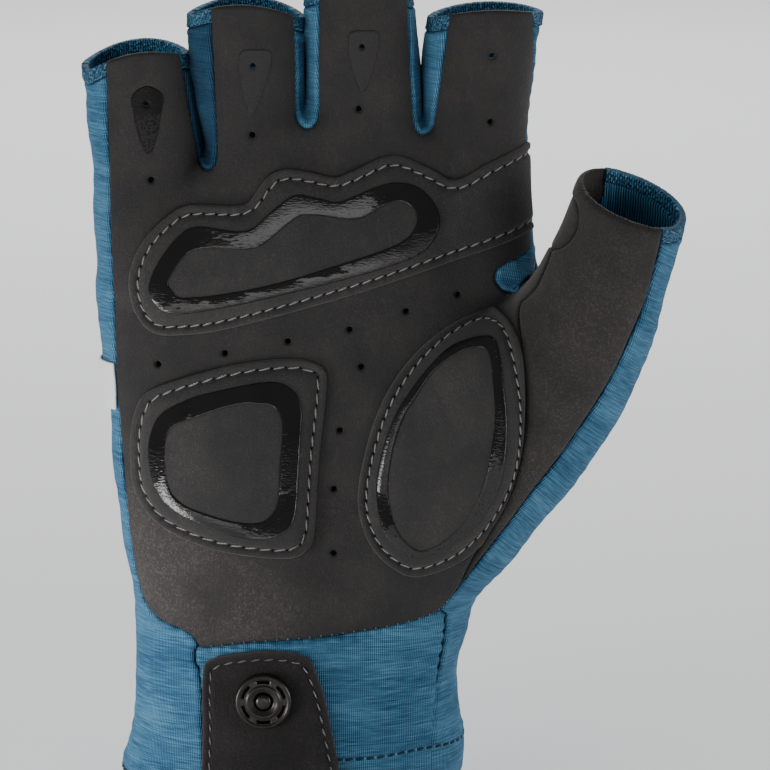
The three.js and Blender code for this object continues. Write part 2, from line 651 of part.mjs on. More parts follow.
const domeProfile = [
  [0, 0], [snapCentre.radius, 0], [snapCentre.radius, snapCentre.shoulder],
  [snapCentre.crownRadius, snapCentre.crown], [0, snapCentre.height],
].map(([r, h]) => new THREE.Vector2(r, h));
const domeGeometry = new THREE.LatheGeometry(domeProfile, snapCentre.sides);
domeGeometry.rotateX(Math.PI);
domeGeometry.translate(snap.x, snapBackY, snap.z);
place('snap_centre', solidOf(domeGeometry), blackMetal);

// Plain white patch on the edge of the hand
const patchBox = new THREE.BoxGeometry(throughReach, patch.back - patch.front, patch.top - patch.bottom);
patchBox.translate(patch.right - throughReach / 2, 0, 0);
patchBox.translate(0, (patch.front + patch.back) / 2, (patch.top + patch.bottom) / 2);
const patchSkin = layer(seamGap, seamGap + patchThickness).intersect(solidOf(patchBox));
place('side_patch', patchSkin, white);

export default group;
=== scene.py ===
import math

import bpy
import numpy as np
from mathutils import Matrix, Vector
from mathutils.kdtree import KDTree


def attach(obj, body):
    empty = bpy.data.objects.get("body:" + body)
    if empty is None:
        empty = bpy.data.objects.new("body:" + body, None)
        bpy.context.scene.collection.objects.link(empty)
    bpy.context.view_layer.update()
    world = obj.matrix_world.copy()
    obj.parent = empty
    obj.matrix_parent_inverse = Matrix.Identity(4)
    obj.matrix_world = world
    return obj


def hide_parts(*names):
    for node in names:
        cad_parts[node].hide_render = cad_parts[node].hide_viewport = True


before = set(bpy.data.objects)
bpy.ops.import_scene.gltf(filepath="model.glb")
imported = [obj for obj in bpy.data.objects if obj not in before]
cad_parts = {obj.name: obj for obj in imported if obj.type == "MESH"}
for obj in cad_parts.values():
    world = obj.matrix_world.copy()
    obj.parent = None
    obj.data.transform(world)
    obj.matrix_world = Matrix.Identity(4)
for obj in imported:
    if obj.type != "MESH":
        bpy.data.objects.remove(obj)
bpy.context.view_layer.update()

# Sewn body of the glove
# Leather and knit panels are cut flat and sewn over a hand form: a wide palm, four fingers
# side by side and a bent thumb. All of them are cut from this one skin, in millimetres.

# Palm and wrist from the hem up: z, left, right, front, back, squareness
palm_rows = np.array([
    (0, -39.8, 36.2, -20.6, 21.4, 2.3),
    (8, -38.2, 36.4, -20.2, 21.0, 2.3),
    (16, -36.6, 35.4, -19.7, 20.4, 2.3),
    (25, -36.3, 35.0, -19.2, 19.8, 2.35),
    (34, -36.3, 37.4, -18.6, 19.0, 2.4),
    (43, -36.7, 38.6, -18.0, 18.0, 2.45),
    (54, -38.8, 41.0, -17.5, 17.0, 2.5),
    (67, -40.1, 44.0, -17.0, 16.0, 2.6),
    (81, -41.0, 46.6, -16.6, 15.0, 2.6),
    (96, -42.4, 48.4, -16.2, 14.0, 2.6),
    (108, -43.2, 50.0, -15.5, 12.8, 2.6),
    (120.5, -43.6, 49.8, -13.0, 10.4, 2.6),
])

# The knuckle end of the palm is arched: its middle reaches this much further than its sides
arch_start = 96
arch_rise = 28
arch_middle = 10
arch_half_width = 46.7

# Raised and hollow places on the front of the palm: x, z, reach across, reach along, height
palm_mounds = (
    (30, 76, 14, 22, 2.6),
    (-16, 74, 18, 22, 2.2),
    (0, 120, 34, 12, 1.4),
    (8, 62, 7, 22, -1.6),
)

# Fingers from inside the palm to the open end: z, left, right, front, back, squareness
finger_rows = {
    "little": np.array([
        (108, -43.1, -19.2, -14.0, 11.0, 2.2),
        (124, -43.6, -19.2, -14.0, 10.8, 2.2),
        (137, -43.9, -19.5, -13.2, 9.8, 2.2),
        (145.5, -44.4, -20.4, -13.8, 8.6, 2.3),
        (153.5, -44.9, -21.7, -14.8, 7.2, 2.3),
        (158.8, -45.2, -22.6, -15.6, 6.2, 2.3),
    ]),
    "ring": np.array([
        (110, -19.2, 1.9, -14.6, 12.0, 2.2),
        (126, -19.0, 1.9, -14.6, 11.4, 2.2),
        (138, -19.1, 1.9, -13.8, 10.4, 2.2),
        (146, -21.0, 1.9, -14.0, 9.4, 2.3),
        (156, -22.5, 1.9, -15.0, 7.6, 2.3),
        (168.4, -22.6, 1.8, -16.8, 5.4, 2.3),
    ]),
    "middle": np.array([
        (112, 2.0, 26.9, -14.8, 12.2, 2.2),
        (128, 2.0, 26.9, -14.6, 11.6, 2.2),
        (144, 2.0, 27.0, -13.8, 10.0, 2.2),
        (152, 2.0, 26.8, -14.6, 8.8, 2.3),
        (162, 2.0, 25.7, -15.8, 7.0, 2.3),
        (173.2, 2.1, 24.4, -17.2, 5.0, 2.3),
    ]),
    "index": np.array([
        (110, 27.0, 50.6, -14.2, 11.8, 2.2),
        (126, 27.0, 50.2, -14.2, 11.2, 2.2),
        (144, 27.0, 49.4, -13.4, 9.4, 2.2),
        (152, 26.8, 49.8, -14.1, 8.2, 2.3),
        (160, 27.1, 50.8, -15.0, 6.8, 2.3),
        (168, 28.2, 52.0, -16.1, 5.4, 2.3),
    ]),
}

# The open end of each finger: lift, arch, tilt across the finger, and dip of the left end of its front
finger_ends = {
    "little": (0.4, 3.0, 1.0, 2.2),
    "ring": (0, 3.0, -0.4, 0),
    "middle": (0, 3.0, 0, 0),
    "index": (0.6, 1.6, 0.5, 0),
}

# Thumb along its bent middle line: x, y, z, half width, half depth, drop, rise.
# Drop turns the section's right end down, and rise turns its back up, in degrees.
thumb_rows = np.array([
    (18, -2, 34, 10, 14, 38, 8),
    (25.4, -3.5, 51.8, 17.8, 15, 38, 10),
    (36.4, -7, 69.2, 19.8, 15.4, 34, 11),
    (47.2, -10.5, 87.2, 21.5, 14.8, 28, 12),
    (60.4, -15, 102.7, 15.5, 14, 21, 15),
    (66.6, -20, 118, 12.8, 12, 18, 19),
    (70.3, -25.3, 132.2, 11.8, 10.2, 21, 21),
])
thumb_square = 2.15
# The form runs on past the last row by this much, and the opening is cut out of it later
thumb_overrun = 9
# The thumb is worked out only to the right of this x and below this z
thumb_box_x, thumb_box_z = 5, 160
# A first guess of a place along the thumb takes heights square to this lean about its middle
thumb_lean, thumb_middle_x = 0.35, 45
thumb_row_gap = 18

# Slits between the fingers: the height where each one starts, and its line x = at + lean * (z - start)
slits = (
    {"start": 137.5, "at": -19.1, "lean": -0.17},
    {"start": 147.0, "at": 1.95, "lean": 0.0},
    {"start": 144.3, "at": 27.0, "lean": -0.02},
)
# While the skin is made, the fingers are spread by this gap, which opens over this reach above a fork
spread_gap = 4.0
spread_reach = 8.0
slit_width = 0.12

# Reaches over which the form is rounded: at the fingers' and thumb's roots inside the palm, at the
# thumb's far end, and in the webs where one limb meets another
root_round, thumb_root_round, thumb_end_round = 5, 4, 0.5
web_round = 3
well_inside = -20


def eased(rows, column, z):
    """A column of a table at any height, on a smooth curve through its rows."""
    heights, values = rows[:, 0], rows[:, column]
    slopes = np.gradient(values, heights)
    low = np.clip(np.searchsorted(heights, z) - 1, 0, len(heights) - 2)
    span = heights[low + 1] - heights[low]
    inside = np.clip(z, heights[0], heights[-1])
    t = (inside - heights[low]) / span
    beyond = z - inside
    value = (
        (1 + 2 * t) * (1 - t) ** 2 * values[low]
        + t * (1 - t) ** 2 * span * slopes[low]
        + t * t * (3 - 2 * t) * values[low + 1]
        + t * t * (t - 1) * span * slopes[low + 1]
    )
    return value + beyond * np.where(beyond < 0, slopes[0], slopes[-1])


def blended(a, b, reach):
    """The nearer of two distances, with the corner between them rounded over a reach."""
    share = np.clip(0.5 + 0.5 * (b - a) / reach, 0, 1)
    return b * (1 - share) + a * share - reach * share * (1 - share)


def smooth_step(t):
    t = np.clip(t, 0, 1)
    return t * t * (3 - 2 * t)


def section_distance(across, deep, half_width, half_depth, square):
    """Distance to a superellipse, negative inside it."""
    half_width, half_depth = np.maximum(half_width, 2), np.maximum(half_depth, 2)
    u = np.abs(across) / half_width + 1e-6
    v = np.abs(deep) / half_depth + 1e-6
    radius = (u**square + v**square) ** (1 / square)
    du = (u / radius) ** (square - 1) / half_width
    dv = (v / radius) ** (square - 1) / half_depth
    return (radius - 1) / np.sqrt(du * du + dv * dv)


def arch_at(x):
    return np.clip(1 - ((x - arch_middle) / arch_half_width) ** 2, -0.4, 1)


def palm_distance(x, y, z):
    top = palm_rows[-1, 0]
    stretch = 1 + arch_rise / (top - arch_start) * arch_at(x)
    level = np.where(z > arch_start, arch_start + (z - arch_start) / stretch, z)
    left, right, front, back, square = (eased(palm_rows, c, level) for c in range(1, 6))
    middle = (front + back) / 2
    half_depth = (back - front) / 2
    mound = sum(h * np.exp(-(((x - mx) / rx) ** 2) - ((z - mz) / rz) ** 2)
                for mx, mz, rx, rz, h in palm_mounds)
    y = y + mound * np.clip((middle - y) / half_depth, 0, 1)
    side = section_distance(x - (left + right) / 2, y - middle, (right - left) / 2, half_depth, square)
    return -blended(-side, -(level - top) * stretch, root_round)


def spread_amount(slit, z):
    """How far the fingers beside a slit are held apart while the skin is made."""
    return spread_gap * smooth_step((z - slit["start"]) / spread_reach)


def finger_shift(finger, z):
    little_ring, ring_middle, middle_index = (spread_amount(slit, z) for slit in slits)
    if finger == "little":
        return -little_ring
    if finger == "ring":
        return 0 * z
    return ring_middle if finger == "middle" else ring_middle + middle_index


def finger_distance(finger, x, y, z):
    rows = finger_rows[finger]
    left, right, front, back, square = (eased(rows, c, z) for c in range(1, 6))
    x = x - finger_shift(finger, z)
    side = section_distance(
        x - (left + right) / 2, y - (front + back) / 2, (right - left) / 2, (back - front) / 2, square)
    return -blended(-side, z - rows[0, 0], root_round)


thumb_steps = np.linspace(0, len(thumb_rows) - 1, 121)
thumb_table = np.column_stack([np.arange(len(thumb_rows)), thumb_rows])
thumb_line = [eased(thumb_table, column, thumb_steps) for column in range(1, 8)]


def slanted_height(x, z):
    return z - thumb_lean * (x - thumb_middle_x)


def thumb_place(x, y, z):
    """Where points lie along the thumb: place on its line, height above its section, across and deep."""
    place = np.interp(slanted_height(x, z), slanted_height(thumb_line[0], thumb_line[2]), thumb_steps)
    for _ in range(5):
        cx, cy, cz, drop, rise = (np.interp(place, thumb_steps, thumb_line[c]) for c in (0, 1, 2, 5, 6))
        drop, rise = np.radians(drop), np.radians(rise)
        out = (np.sin(drop) * np.cos(rise), -np.sin(rise), np.cos(drop) * np.cos(rise))
        above = (x - cx) * out[0] + (y - cy) * out[1] + (z - cz) * out[2]
        place = np.clip(place + 0.9 * above / thumb_row_gap, 0, thumb_steps[-1])
    across = (x - cx) * np.cos(drop) - (z - cz) * np.sin(drop)
    deep = (
        (x - cx) * np.sin(drop) * np.sin(rise) + (y - cy) * np.cos(rise)
        + (z - cz) * np.cos(drop) * np.sin(rise))
    return place, above, across, deep, out


def thumb_distance(x, y, z):
    place, above, across, deep, _ = thumb_place(x, y, z)
    half_width = np.interp(place, thumb_steps, thumb_line[3])
    half_depth = np.interp(place, thumb_steps, thumb_line[4])
    side = section_distance(across, deep, half_width, half_depth, thumb_square)
    base = np.where(place <= 0, -above, well_inside)
    end = np.where(place >= thumb_steps[-1], above - thumb_overrun, well_inside)
    return -blended(blended(-side, -base, thumb_root_round), -end, thumb_end_round)


def form_distance(x, y, z):
    """Distance to the hand form with its fingers spread, negative inside it."""
    hand = palm_distance(x, y, z)
    for finger in finger_rows:
        hand = blended(hand, finger_distance(finger, x, y, z), web_round)
    return hand


def skin_distance(points):
    x, y, z = points.T
    distance = form_distance(x, y, z)
    near = (x > thumb_box_x) & (z < thumb_box_z)
    distance[near] = blended(distance[near], thumb_distance(x[near], y[near], z[near]), web_round)
    return distance


def slope_of(points, step=0.05):
    """Direction in which the distance grows, by small differences."""
    slope = np.empty_like(points)
    for axis in range(3):
        move = np.zeros(3)
        move[axis] = step
        slope[:, axis] = (skin_distance(points + move) - skin_distance(points - move)) / (2 * step)
    return slope


def settled(points, rounds=2, longest=1.5):
    """Points moved onto the skin, each time by no more than the longest step."""
    for _ in range(rounds):
        slope = slope_of(points)
        square = np.maximum((slope * slope).sum(1), 0.2)
        step = np.clip(skin_distance(points) / square, -longest, longest)
        points = points - step[:, None] * slope
    return points


def surface_net(low, high, step):
    """Quads round the form, one point in each grid cell that its skin passes through."""
    axes = [np.arange(low[a], high[a] + step, step) for a in range(3)]
    x, y, z = axes[0][:, None, None], axes[1][None, :, None], axes[2][None, None, :]
    values = form_distance(x, y, z)
    from_x = np.searchsorted(axes[0], thumb_box_x + 1)
    up_to_z = np.searchsorted(axes[2], thumb_box_z - 5)
    part = (slice(from_x, None), slice(None), slice(0, up_to_z))
    near_thumb = np.broadcast_arrays(x[from_x:], y, z[:, :, :up_to_z])
    values[part] = blended(values[part], thumb_distance(*near_thumb), web_round)
    inside = values < 0
    count = [n - 1 for n in values.shape]
    corners = [(i, j, k) for i in (0, 1) for j in (0, 1) for k in (0, 1)]
    filled = sum(inside[i:i + count[0], j:j + count[1], k:k + count[2]].astype(np.int8)
                 for i, j, k in corners)
    cells = np.argwhere((filled > 0) & (filled < 8))
    total = np.zeros((len(cells), 3))
    crossings = np.zeros(len(cells))
    for start in corners:
        for axis in range(3):
            if start[axis]:
                continue
            end = tuple(1 if a == axis else start[a] for a in range(3))
            first = values[tuple((cells + start).T)]
            second = values[tuple((cells + end).T)]
            crosses = (first < 0) != (second < 0)
            share = np.where(crosses, first / np.where(crosses, first - second, 1), 0)
            spot = np.array(start)[None, :] + share[:, None] * (np.array(end) - start)[None, :]
            total += spot * crosses[:, None]
            crossings += crosses
    points = np.array([a[0] for a in axes]) + step * (cells + total / crossings[:, None])
    number = np.full(count, -1)
    number[tuple(cells.T)] = np.arange(len(cells))
    quads = []
    for axis in range(3):
        one, two = (axis + 1) % 3, (axis + 2) % 3
        crossing = np.argwhere(np.diff(inside, axis=axis))
        crossing = crossing[(crossing[:, one] > 0) & (crossing[:, two] > 0)
                            & (crossing[:, one] < count[one]) & (crossing[:, two] < count[two])]
        turned = inside[tuple(crossing.T)]
        ring = []
        for a, b in ((0, 0), (1, 0), (1, 1), (0, 1)):
            cell = crossing.copy()
            cell[:, one] -= a
            cell[:, two] -= b
            ring.append(number[tuple(cell.T)])
        ring = np.stack(ring, axis=1)
        ring[turned] = ring[turned][:, ::-1]
        quads.append(ring)
    quads = np.concatenate(quads)
    short = (np.linalg.norm(points[quads[:, 0]] - points[quads[:, 2]], axis=1)
             <= np.linalg.norm(points[quads[:, 1]] - points[quads[:, 3]], axis=1))
    first = np.where(short[:, None], quads[:, [0, 1, 2]], quads[:, [0, 1, 3]])
    second = np.where(short[:, None], quads[:, [0, 2, 3]], quads[:, [1, 2, 3]])
    return points, np.concatenate([first, second])[:, ::-1]


def closed_up(points):
    """The fingers of the finished skin moved back side by side, with a thin slit left between them."""
    x, z = points[:, 0], points[:, 2]
    moved = x.copy()
    shift_before = 0 * z
    for slit, side in zip(slits, (-1, 1, 1)):
        gap = spread_amount(slit, z)
        line = slit["at"] + slit["lean"] * (z - slit["start"]) + shift_before + side * gap / 2
        half = (gap + slit_width) / 2
        squeeze = gap * np.clip((x - line + half) / (2 * half), 0, 1)
        moved -= squeeze if side > 0 else squeeze - gap
        if side > 0:
            shift_before = shift_before + gap
    return np.column_stack([moved, points[:, 1], z])


def edges_of(faces):
    """Every edge once, and for each face the numbers of its three edges."""
    pairs = np.sort(faces[:, [0, 1, 1, 2, 2, 0]].reshape(-1, 2), axis=1).astype(np.int64)
    size = pairs.max() + 1
    keys, number = np.unique(pairs[:, 0] * size + pairs[:, 1], return_inverse=True)
    return np.column_stack([keys // size, keys % size]), number.reshape(-1, 3)


def refined(points, faces, finest, slack=1.35):
    """Faces split where an edge is longer than the finest length wanted at either end, with some slack."""
    edges, of_face = edges_of(faces)
    length = np.linalg.norm(points[edges[:, 0], :3] - points[edges[:, 1], :3], axis=1)
    split = length > slack * np.minimum(finest[edges[:, 0]], finest[edges[:, 1]])
    middle = np.full(len(edges), -1)
    middle[split] = len(points) + np.arange(split.sum())
    points = np.concatenate([points, points[edges[split]].mean(axis=1)])
    marked = split[of_face]
    made = [faces[~marked.any(axis=1)]]
    for turn in range(3):
        order = [turn, (turn + 1) % 3, (turn + 2) % 3]
        a, b, c = faces[:, order].T
        ab, bc, _ = middle[of_face[:, order]].T
        one, two, three = marked[:, order].T
        alone = one & ~two & ~three
        made.append(np.stack([a, ab, c], 1)[alone])
        made.append(np.stack([ab, b, c], 1)[alone])
        pair = one & two & ~three
        made.append(np.stack([ab, b, bc], 1)[pair])
        made.append(np.stack([a, ab, bc], 1)[pair])
        made.append(np.stack([a, bc, c], 1)[pair])
    every = marked.all(axis=1)
    a, b, c = faces[every].T
    ab, bc, ca = middle[of_face[every]].T
    made += [np.stack(corner, 1) for corner in ((a, ab, ca), (ab, b, bc), (ca, bc, c), (ab, bc, ca))]
    return points, np.concatenate(made)


def cut(points, faces, rule):
    """Faces split where a rule passes through zero: points, faces where it is positive, and the rest."""
    used = np.unique(faces)
    values = np.zeros(len(points))
    values[used] = rule(*points[used, :3].T)
    above = values > 0
    edges, of_face = edges_of(faces)
    crosses = above[edges[:, 0]] != above[edges[:, 1]]
    low, high = edges[crosses].T
    share = (values[low] / (values[low] - values[high]))[:, None]
    number = np.full(len(edges), -1)
    number[crosses] = len(points) + np.arange(len(low))
    points = np.concatenate([points, points[low] * (1 - share) + points[high] * share])
    state = above[faces]
    kept = [faces[state.all(axis=1)]]
    rest = [faces[~state.any(axis=1)]]
    for turn in range(3):
        order = [turn, (turn + 1) % 3, (turn + 2) % 3]
        a, b, c = faces[:, order].T
        ab, _, ca = number[of_face[:, order]].T
        one, two, three = state[:, order].T
        for chosen, tip, base in ((one & ~two & ~three, kept, rest), (~one & two & three, rest, kept)):
            tip.append(np.stack([a, ab, ca], 1)[chosen])
            base.append(np.stack([ab, b, c], 1)[chosen])
            base.append(np.stack([ab, c, ca], 1)[chosen])
    return points, np.concatenate(kept), np.concatenate(rest)


# Farther than any seam is looked for
far_away = 50.0


def finer(points, faces, rule, length, reach, on_skin=True):
    """Faces made finer where a rule is within a reach of zero."""
    for _ in range(2):
        used = np.unique(faces)
        finest = np.full(len(points), far_away)
        finest[used] = np.where(np.abs(rule(*points[used, :3].T)) < reach, length, far_away)
        known = len(points)
        points, faces = refined(points, faces, finest)
        if on_skin:
            spread = settled(points[known:, 3:6], rounds=1)
            points[known:, :6] = np.column_stack([closed_up(spread), spread])
    return points, faces


def seamed(points, faces, rule, reach=0.8):
    """Faces split along a seam, with small ones beside it: points, faces inside the seam, and the rest."""
    points, faces = finer(points, faces, rule, seam_step, reach)
    return cut(points, faces, rule)


def normals_of(points, faces):
    """Outward direction at each point, from the faces round it."""
    a, b, c = (points[faces[:, corner], :3] for corner in range(3))
    facing = np.cross(b - a, c - a)
    total = np.zeros((len(points), 3))
    for corner in range(3):
        for axis in range(3):
            total[:, axis] += np.bincount(faces[:, corner], facing[:, axis], len(points))
    return total / np.maximum(np.linalg.norm(total, axis=1, keepdims=True), 1e-12)


# To the right of thumb_x and above thumb_z the skin is the thumb's, and above fingers_z the fingers'
thumb_x, thumb_z, fingers_z = 54.5, 95, 128
finger_lines = [lambda z, slit=slit: slit["at"] + slit["lean"] * (z - slit["start"]) for slit in slits]


def tip_room(x, y, z):
    """Distance left to the open end of whichever finger or thumb a point is on."""
    room = np.full(len(x), far_away)
    owner = sum((x > line(z)).astype(int) for line in finger_lines)
    for index, (finger, rows) in enumerate(finger_rows.items()):
        end = rows[-1]
        lift, arch, tilt, dip = finger_ends[finger]
        across = np.clip((x - (end[1] + end[2]) / 2) / ((end[2] - end[1]) / 2), -1, 1)
        top = end[0] + lift + arch * (1 - across**2) + tilt * across
        at_front = smooth_step((-5 - y) / 6)
        top = top - dip * (1 - across) / 2 * at_front
        chosen = (owner == index) & (z > fingers_z) & (x < thumb_x)
        room[chosen] = (top - z)[chosen]
    on_thumb = (x > thumb_x) & (z > thumb_z)
    end = thumb_rows[-1]
    drop, rise = np.radians(end[5]), np.radians(end[6])
    out = np.array([np.sin(drop) * np.cos(rise), -np.sin(rise), np.cos(drop) * np.cos(rise)])
    room[on_thumb] = (end[:3] - np.column_stack([x, y, z])[on_thumb]) @ out
    return room


def on_body(x, y, z):
    return z


# The skin: columns for the place, the place with the fingers spread, and the outward direction
skin_low, skin_high = (-54, -42, -10), (88, 25, 182)
skin_step = 1.0
seam_step = 0.42
spread_points, skin_faces = surface_net(skin_low, skin_high, skin_step)
spread_points = settled(spread_points)
skin = np.column_stack([closed_up(spread_points), spread_points])
skin = np.column_stack([skin, normals_of(skin, skin_faces)])
skin, skin_faces, _ = seamed(skin, skin_faces, tip_room)
skin, skin_faces = finer(skin, skin_faces, on_body, seam_step, 0.8)
skin, rest, _ = cut(skin, skin_faces, on_body)


# Hem
# The knit is folded up and stitched round the wrist opening, so it is twice as thick there.
# It is sewn with short dark dashes near its upper edge, and like every panel it is a closed
# wall laid over the skin, with its edges rolled in beside the seams.


def open_edges(faces):
    """Edges with a face on one side only, in the direction in which that face runs."""
    directed = faces[:, [0, 1, 1, 2, 2, 0]].reshape(-1, 2)
    keys = np.sort(directed, axis=1).astype(np.int64)
    keys = keys[:, 0] * (keys.max() + 1) + keys[:, 1]
    _, first, count = np.unique(keys, return_index=True, return_counts=True)
    return directed[first[count == 1]]


def edge_loops(faces):
    """The open edges as rows of point numbers, each row running round one opening."""
    after = dict(open_edges(faces).tolist())
    loops = []
    while after:
        loop = [next(iter(after))]
        while loop[-1] in after:
            loop.append(after.pop(loop[-1]))
        loops.append(loop)
    return loops


def length_run(places):
    return np.concatenate([[0], np.cumsum(np.linalg.norm(np.diff(places, axis=0), axis=1))])


def search_tree(places):
    tree = KDTree(len(places))
    for number, place in enumerate(places):
        tree.insert(place, number)
    tree.balance()
    return tree


def edge_room(points, faces):
    """For each point, the distance to the nearest open edge and the length run along that edge."""
    rim, run = [], []
    for loop in edge_loops(faces):
        places = points[loop, :3]
        length = length_run(places)
        steps = np.arange(0, length[-1], 0.25)
        rim.append(np.column_stack([np.interp(steps, length, places[:, axis]) for axis in range(3)]))
        run.append(steps)
    rim, run = np.concatenate(rim), np.concatenate(run)
    tree = search_tree(rim)
    found = [tree.find(place) for place in points[:, :3]]
    return np.array([spot[2] for spot in found]), run[[spot[1] for spot in found]]


def measured_along(points, faces, direction):
    """Length measured over the cloth in a direction that turns with the surface, in millimetres."""
    (one, two), count = edges_of(faces)[0].T, len(points)
    wanted = ((points[two] - points[one]) * (direction[one] + direction[two])).sum(1) / 2
    target = np.bincount(two, wanted, count) - np.bincount(one, wanted, count)
    degree = np.bincount(one, minlength=count) + np.bincount(two, minlength=count) + 1e-6

    def spread(u):
        return degree * u - np.bincount(one, u[two], count) - np.bincount(two, u[one], count)

    length = (points * direction.mean(axis=0)).sum(1)
    left = target - spread(length)
    scaled = left / degree
    search = scaled.copy()
    size = left @ scaled
    for _ in range(300):
        image = spread(search)
        step = size / max(search @ image, 1e-12)
        length += step * search
        left -= step * image
        scaled = left / degree
        fresh = left @ scaled
        if fresh < 1e-4:
            break
        search = scaled + fresh / size * search
        size = fresh
    return length


def compact(points, faces):
    used, faces = np.unique(faces, return_inverse=True)
    return points[used], faces.reshape(-1, 3)


# The rows of the knit are turned this many degrees further than the thumb leans
thumb_cloth_turn = 17


def weave_of(place, faces):
    """Cloth coordinates round and along the limb, in millimetres."""
    points, spread, normal = place[:, :3], place[:, 3:6], place[:, 6:9]
    axis = np.tile((0.0, 0.0, 1.0), (len(points), 1))
    near = (spread[:, 0] > 8) & (spread[:, 2] < 150)
    x, y, z = spread[near].T
    place = thumb_place(x, y, z)[0]
    lean = np.radians(np.interp(place, thumb_steps, thumb_line[5]) + thumb_cloth_turn)
    along_thumb = np.column_stack([np.sin(lean), 0 * x, np.cos(lean)])
    share = smooth_step((form_distance(x, y, z) - thumb_distance(x, y, z)) / 12 + 0.8)
    share = (share * smooth_step((z - 38) / 16))[:, None]
    axis[near] = axis[near] * (1 - share) + along_thumb * share
    round_limb = np.cross(axis, normal)
    round_limb /= np.maximum(np.linalg.norm(round_limb, axis=1, keepdims=True), 1e-6)
    along_limb = np.cross(normal, round_limb)
    return [measured_along(points, faces, round_limb), measured_along(points, faces, along_limb)]


def made_mesh(name, points, faces, weave):
    """A piece from points in millimetres and triangles, with its cloth coordinates as an attribute."""
    mesh = bpy.data.meshes.new(name)
    mesh.vertices.add(len(points))
    mesh.vertices.foreach_set("co", (points * 0.001).astype(np.float32).ravel())
    mesh.loops.add(3 * len(faces))
    mesh.loops.foreach_set("vertex_index", faces.astype(np.int32).ravel())
    mesh.polygons.add(len(faces))
    mesh.polygons.foreach_set("loop_start", np.arange(0, 3 * len(faces), 3, dtype=np.int32))
    mesh.polygons.foreach_set("use_smooth", np.ones(len(faces), bool))
    mesh.update(calc_edges=True)
    attribute = mesh.attributes.new("weave", "FLOAT_VECTOR", "POINT")
    attribute.data.foreach_set("vector", weave.astype(np.float32).ravel())
    piece = bpy.data.objects.new(name, mesh)
    bpy.context.scene.collection.objects.link(piece)
    return piece


def thickened(name, outer, inner, faces, weave):
    """A closed wall between an outer and an inner face, which is marked by a last coordinate of -1."""
    count = len(outer)
    # Inside the thumb the ribs stand upright
    in_thumb = (outer[:, 0] > thumb_x) & (outer[:, 2] > thumb_z)
    inner_around = np.where(in_thumb, outer[:, 0], weave[:, 0])
    inner_weave = np.column_stack([inner_around, weave[:, 1], np.full(count, -1.0)])
    a, b = open_edges(faces).T
    sides = np.concatenate([np.stack([b, a, a + count], 1), np.stack([b, a + count, b + count], 1)])
    every = np.concatenate([faces, faces[:, ::-1] + count, sides])
    return made_mesh(name, np.concatenate([outer, inner]), every, np.concatenate([weave, inner_weave]))


def rolled(room, radius):
    """Height lost beside an edge that is rolled over."""
    t = np.clip(1 - room / radius, 0, 1)
    return radius * (1 - np.sqrt(1 - t * t))


# The length over which relief fades beside a closed seam, the length over which painted shade is laid
# on the edge at an open one, and the thinnest that a panel's wall gets
relief_fade = 1.2
seam_shade_reach = 0.35
least_wall = 0.35


def panel(name, faces, proud, wall, roll, relief, open_seam=None):
    """A sewn panel: how far it stands out of the skin, its thickness, its rolled edge and its relief.

    An open seam tells for each place how deep its edges are and how much painted shade they get there.
    """
    place, faces = compact(skin, faces)
    room, run = edge_room(place, faces)
    around, along = weave_of(place, faces)
    depth = 1 if open_seam is None else open_seam(place)
    fading = 1 - np.exp(-room / relief_fade) * (1 - depth)
    height = proud - rolled(room, roll) * depth + relief(place, around, along, room, run) * fading
    outer = place[:, :3] + place[:, 6:9] * height[:, None]
    inside = np.minimum(proud + rolled(room, min(roll, wall / 3)) - wall, height - least_wall)
    inner = place[:, :3] + place[:, 6:9] * inside[:, None]
    # The last weave coordinate is the share of painted shade beside the open edges
    weave = np.column_stack([around, along, np.exp(-room / seam_shade_reach) * depth])
    return thickened(name, outer, inner, faces, weave), outer, faces


def ripples(across, along, across_wave, along_wave, seed, count=7):
    """Uneven folds about 1 high, with the given wavelengths in millimetres."""
    random = np.random.default_rng(seed)
    total = np.zeros(len(across))
    for _ in range(count):
        turn_across, turn_along = random.uniform(-1, 1), random.uniform(0.5, 1.2)
        total += np.sin(2 * math.pi * (across / across_wave * turn_across + along / along_wave * turn_along)
                        + random.uniform(0, 2 * math.pi))
    return total / math.sqrt(count)


# The seam over the hem falls to the left by this much, and is drawn up at the right seam of the cuff
hem_right = 8.6
hem_fall, hem_fall_from, hem_fall_over = 7.2, 8, 45
hem_drawn_up, hem_drawn_x, hem_drawn_reach = 0.9, 27, 7
hem_stitch_drop = 0.5
# The hem is joined under the tab and in line with the right seam of the cuff
hem_joins = (-20.4, 29.0)
hem_front_back = -2


def on_hem(x, y, z):
    drawn_up = hem_drawn_up * np.exp(-(((x - hem_drawn_x) / hem_drawn_reach) ** 2))
    fallen = hem_fall * smooth_step((hem_fall_from - x) / hem_fall_over)
    return hem_right + drawn_up - fallen - z


def on_hem_front(x, y, z):
    return np.minimum.reduce([x - hem_joins[0], hem_joins[1] - x, hem_front_back - y])


skin, hem_faces, rest = seamed(skin, rest, on_hem)
skin, hem_front, hem_back = seamed(skin, hem_faces, on_hem_front)


def shader(name):
    material = bpy.data.materials.new(name)
    material.use_nodes = True
    return material, material.node_tree, material.node_tree.nodes["Principled BSDF"]


def node(tree, kind, inputs=None, **settings):
    """A node with its settings, and with values or links for its inputs."""
    made = tree.nodes.new(kind)
    for key, value in settings.items():
        setattr(made, key, value)
    for key, value in (inputs or {}).items():
        if isinstance(value, bpy.types.NodeSocket):
            tree.links.new(value, made.inputs[key])
        else:
            made.inputs[key].default_value = value
    return made


def math_node(tree, operation, *values):
    return node(tree, "ShaderNodeMath", dict(enumerate(values)), operation=operation).outputs[0]


def times(tree, one, two):
    return math_node(tree, "MULTIPLY", one, two)


def plus(tree, one, two):
    return math_node(tree, "ADD", one, two)


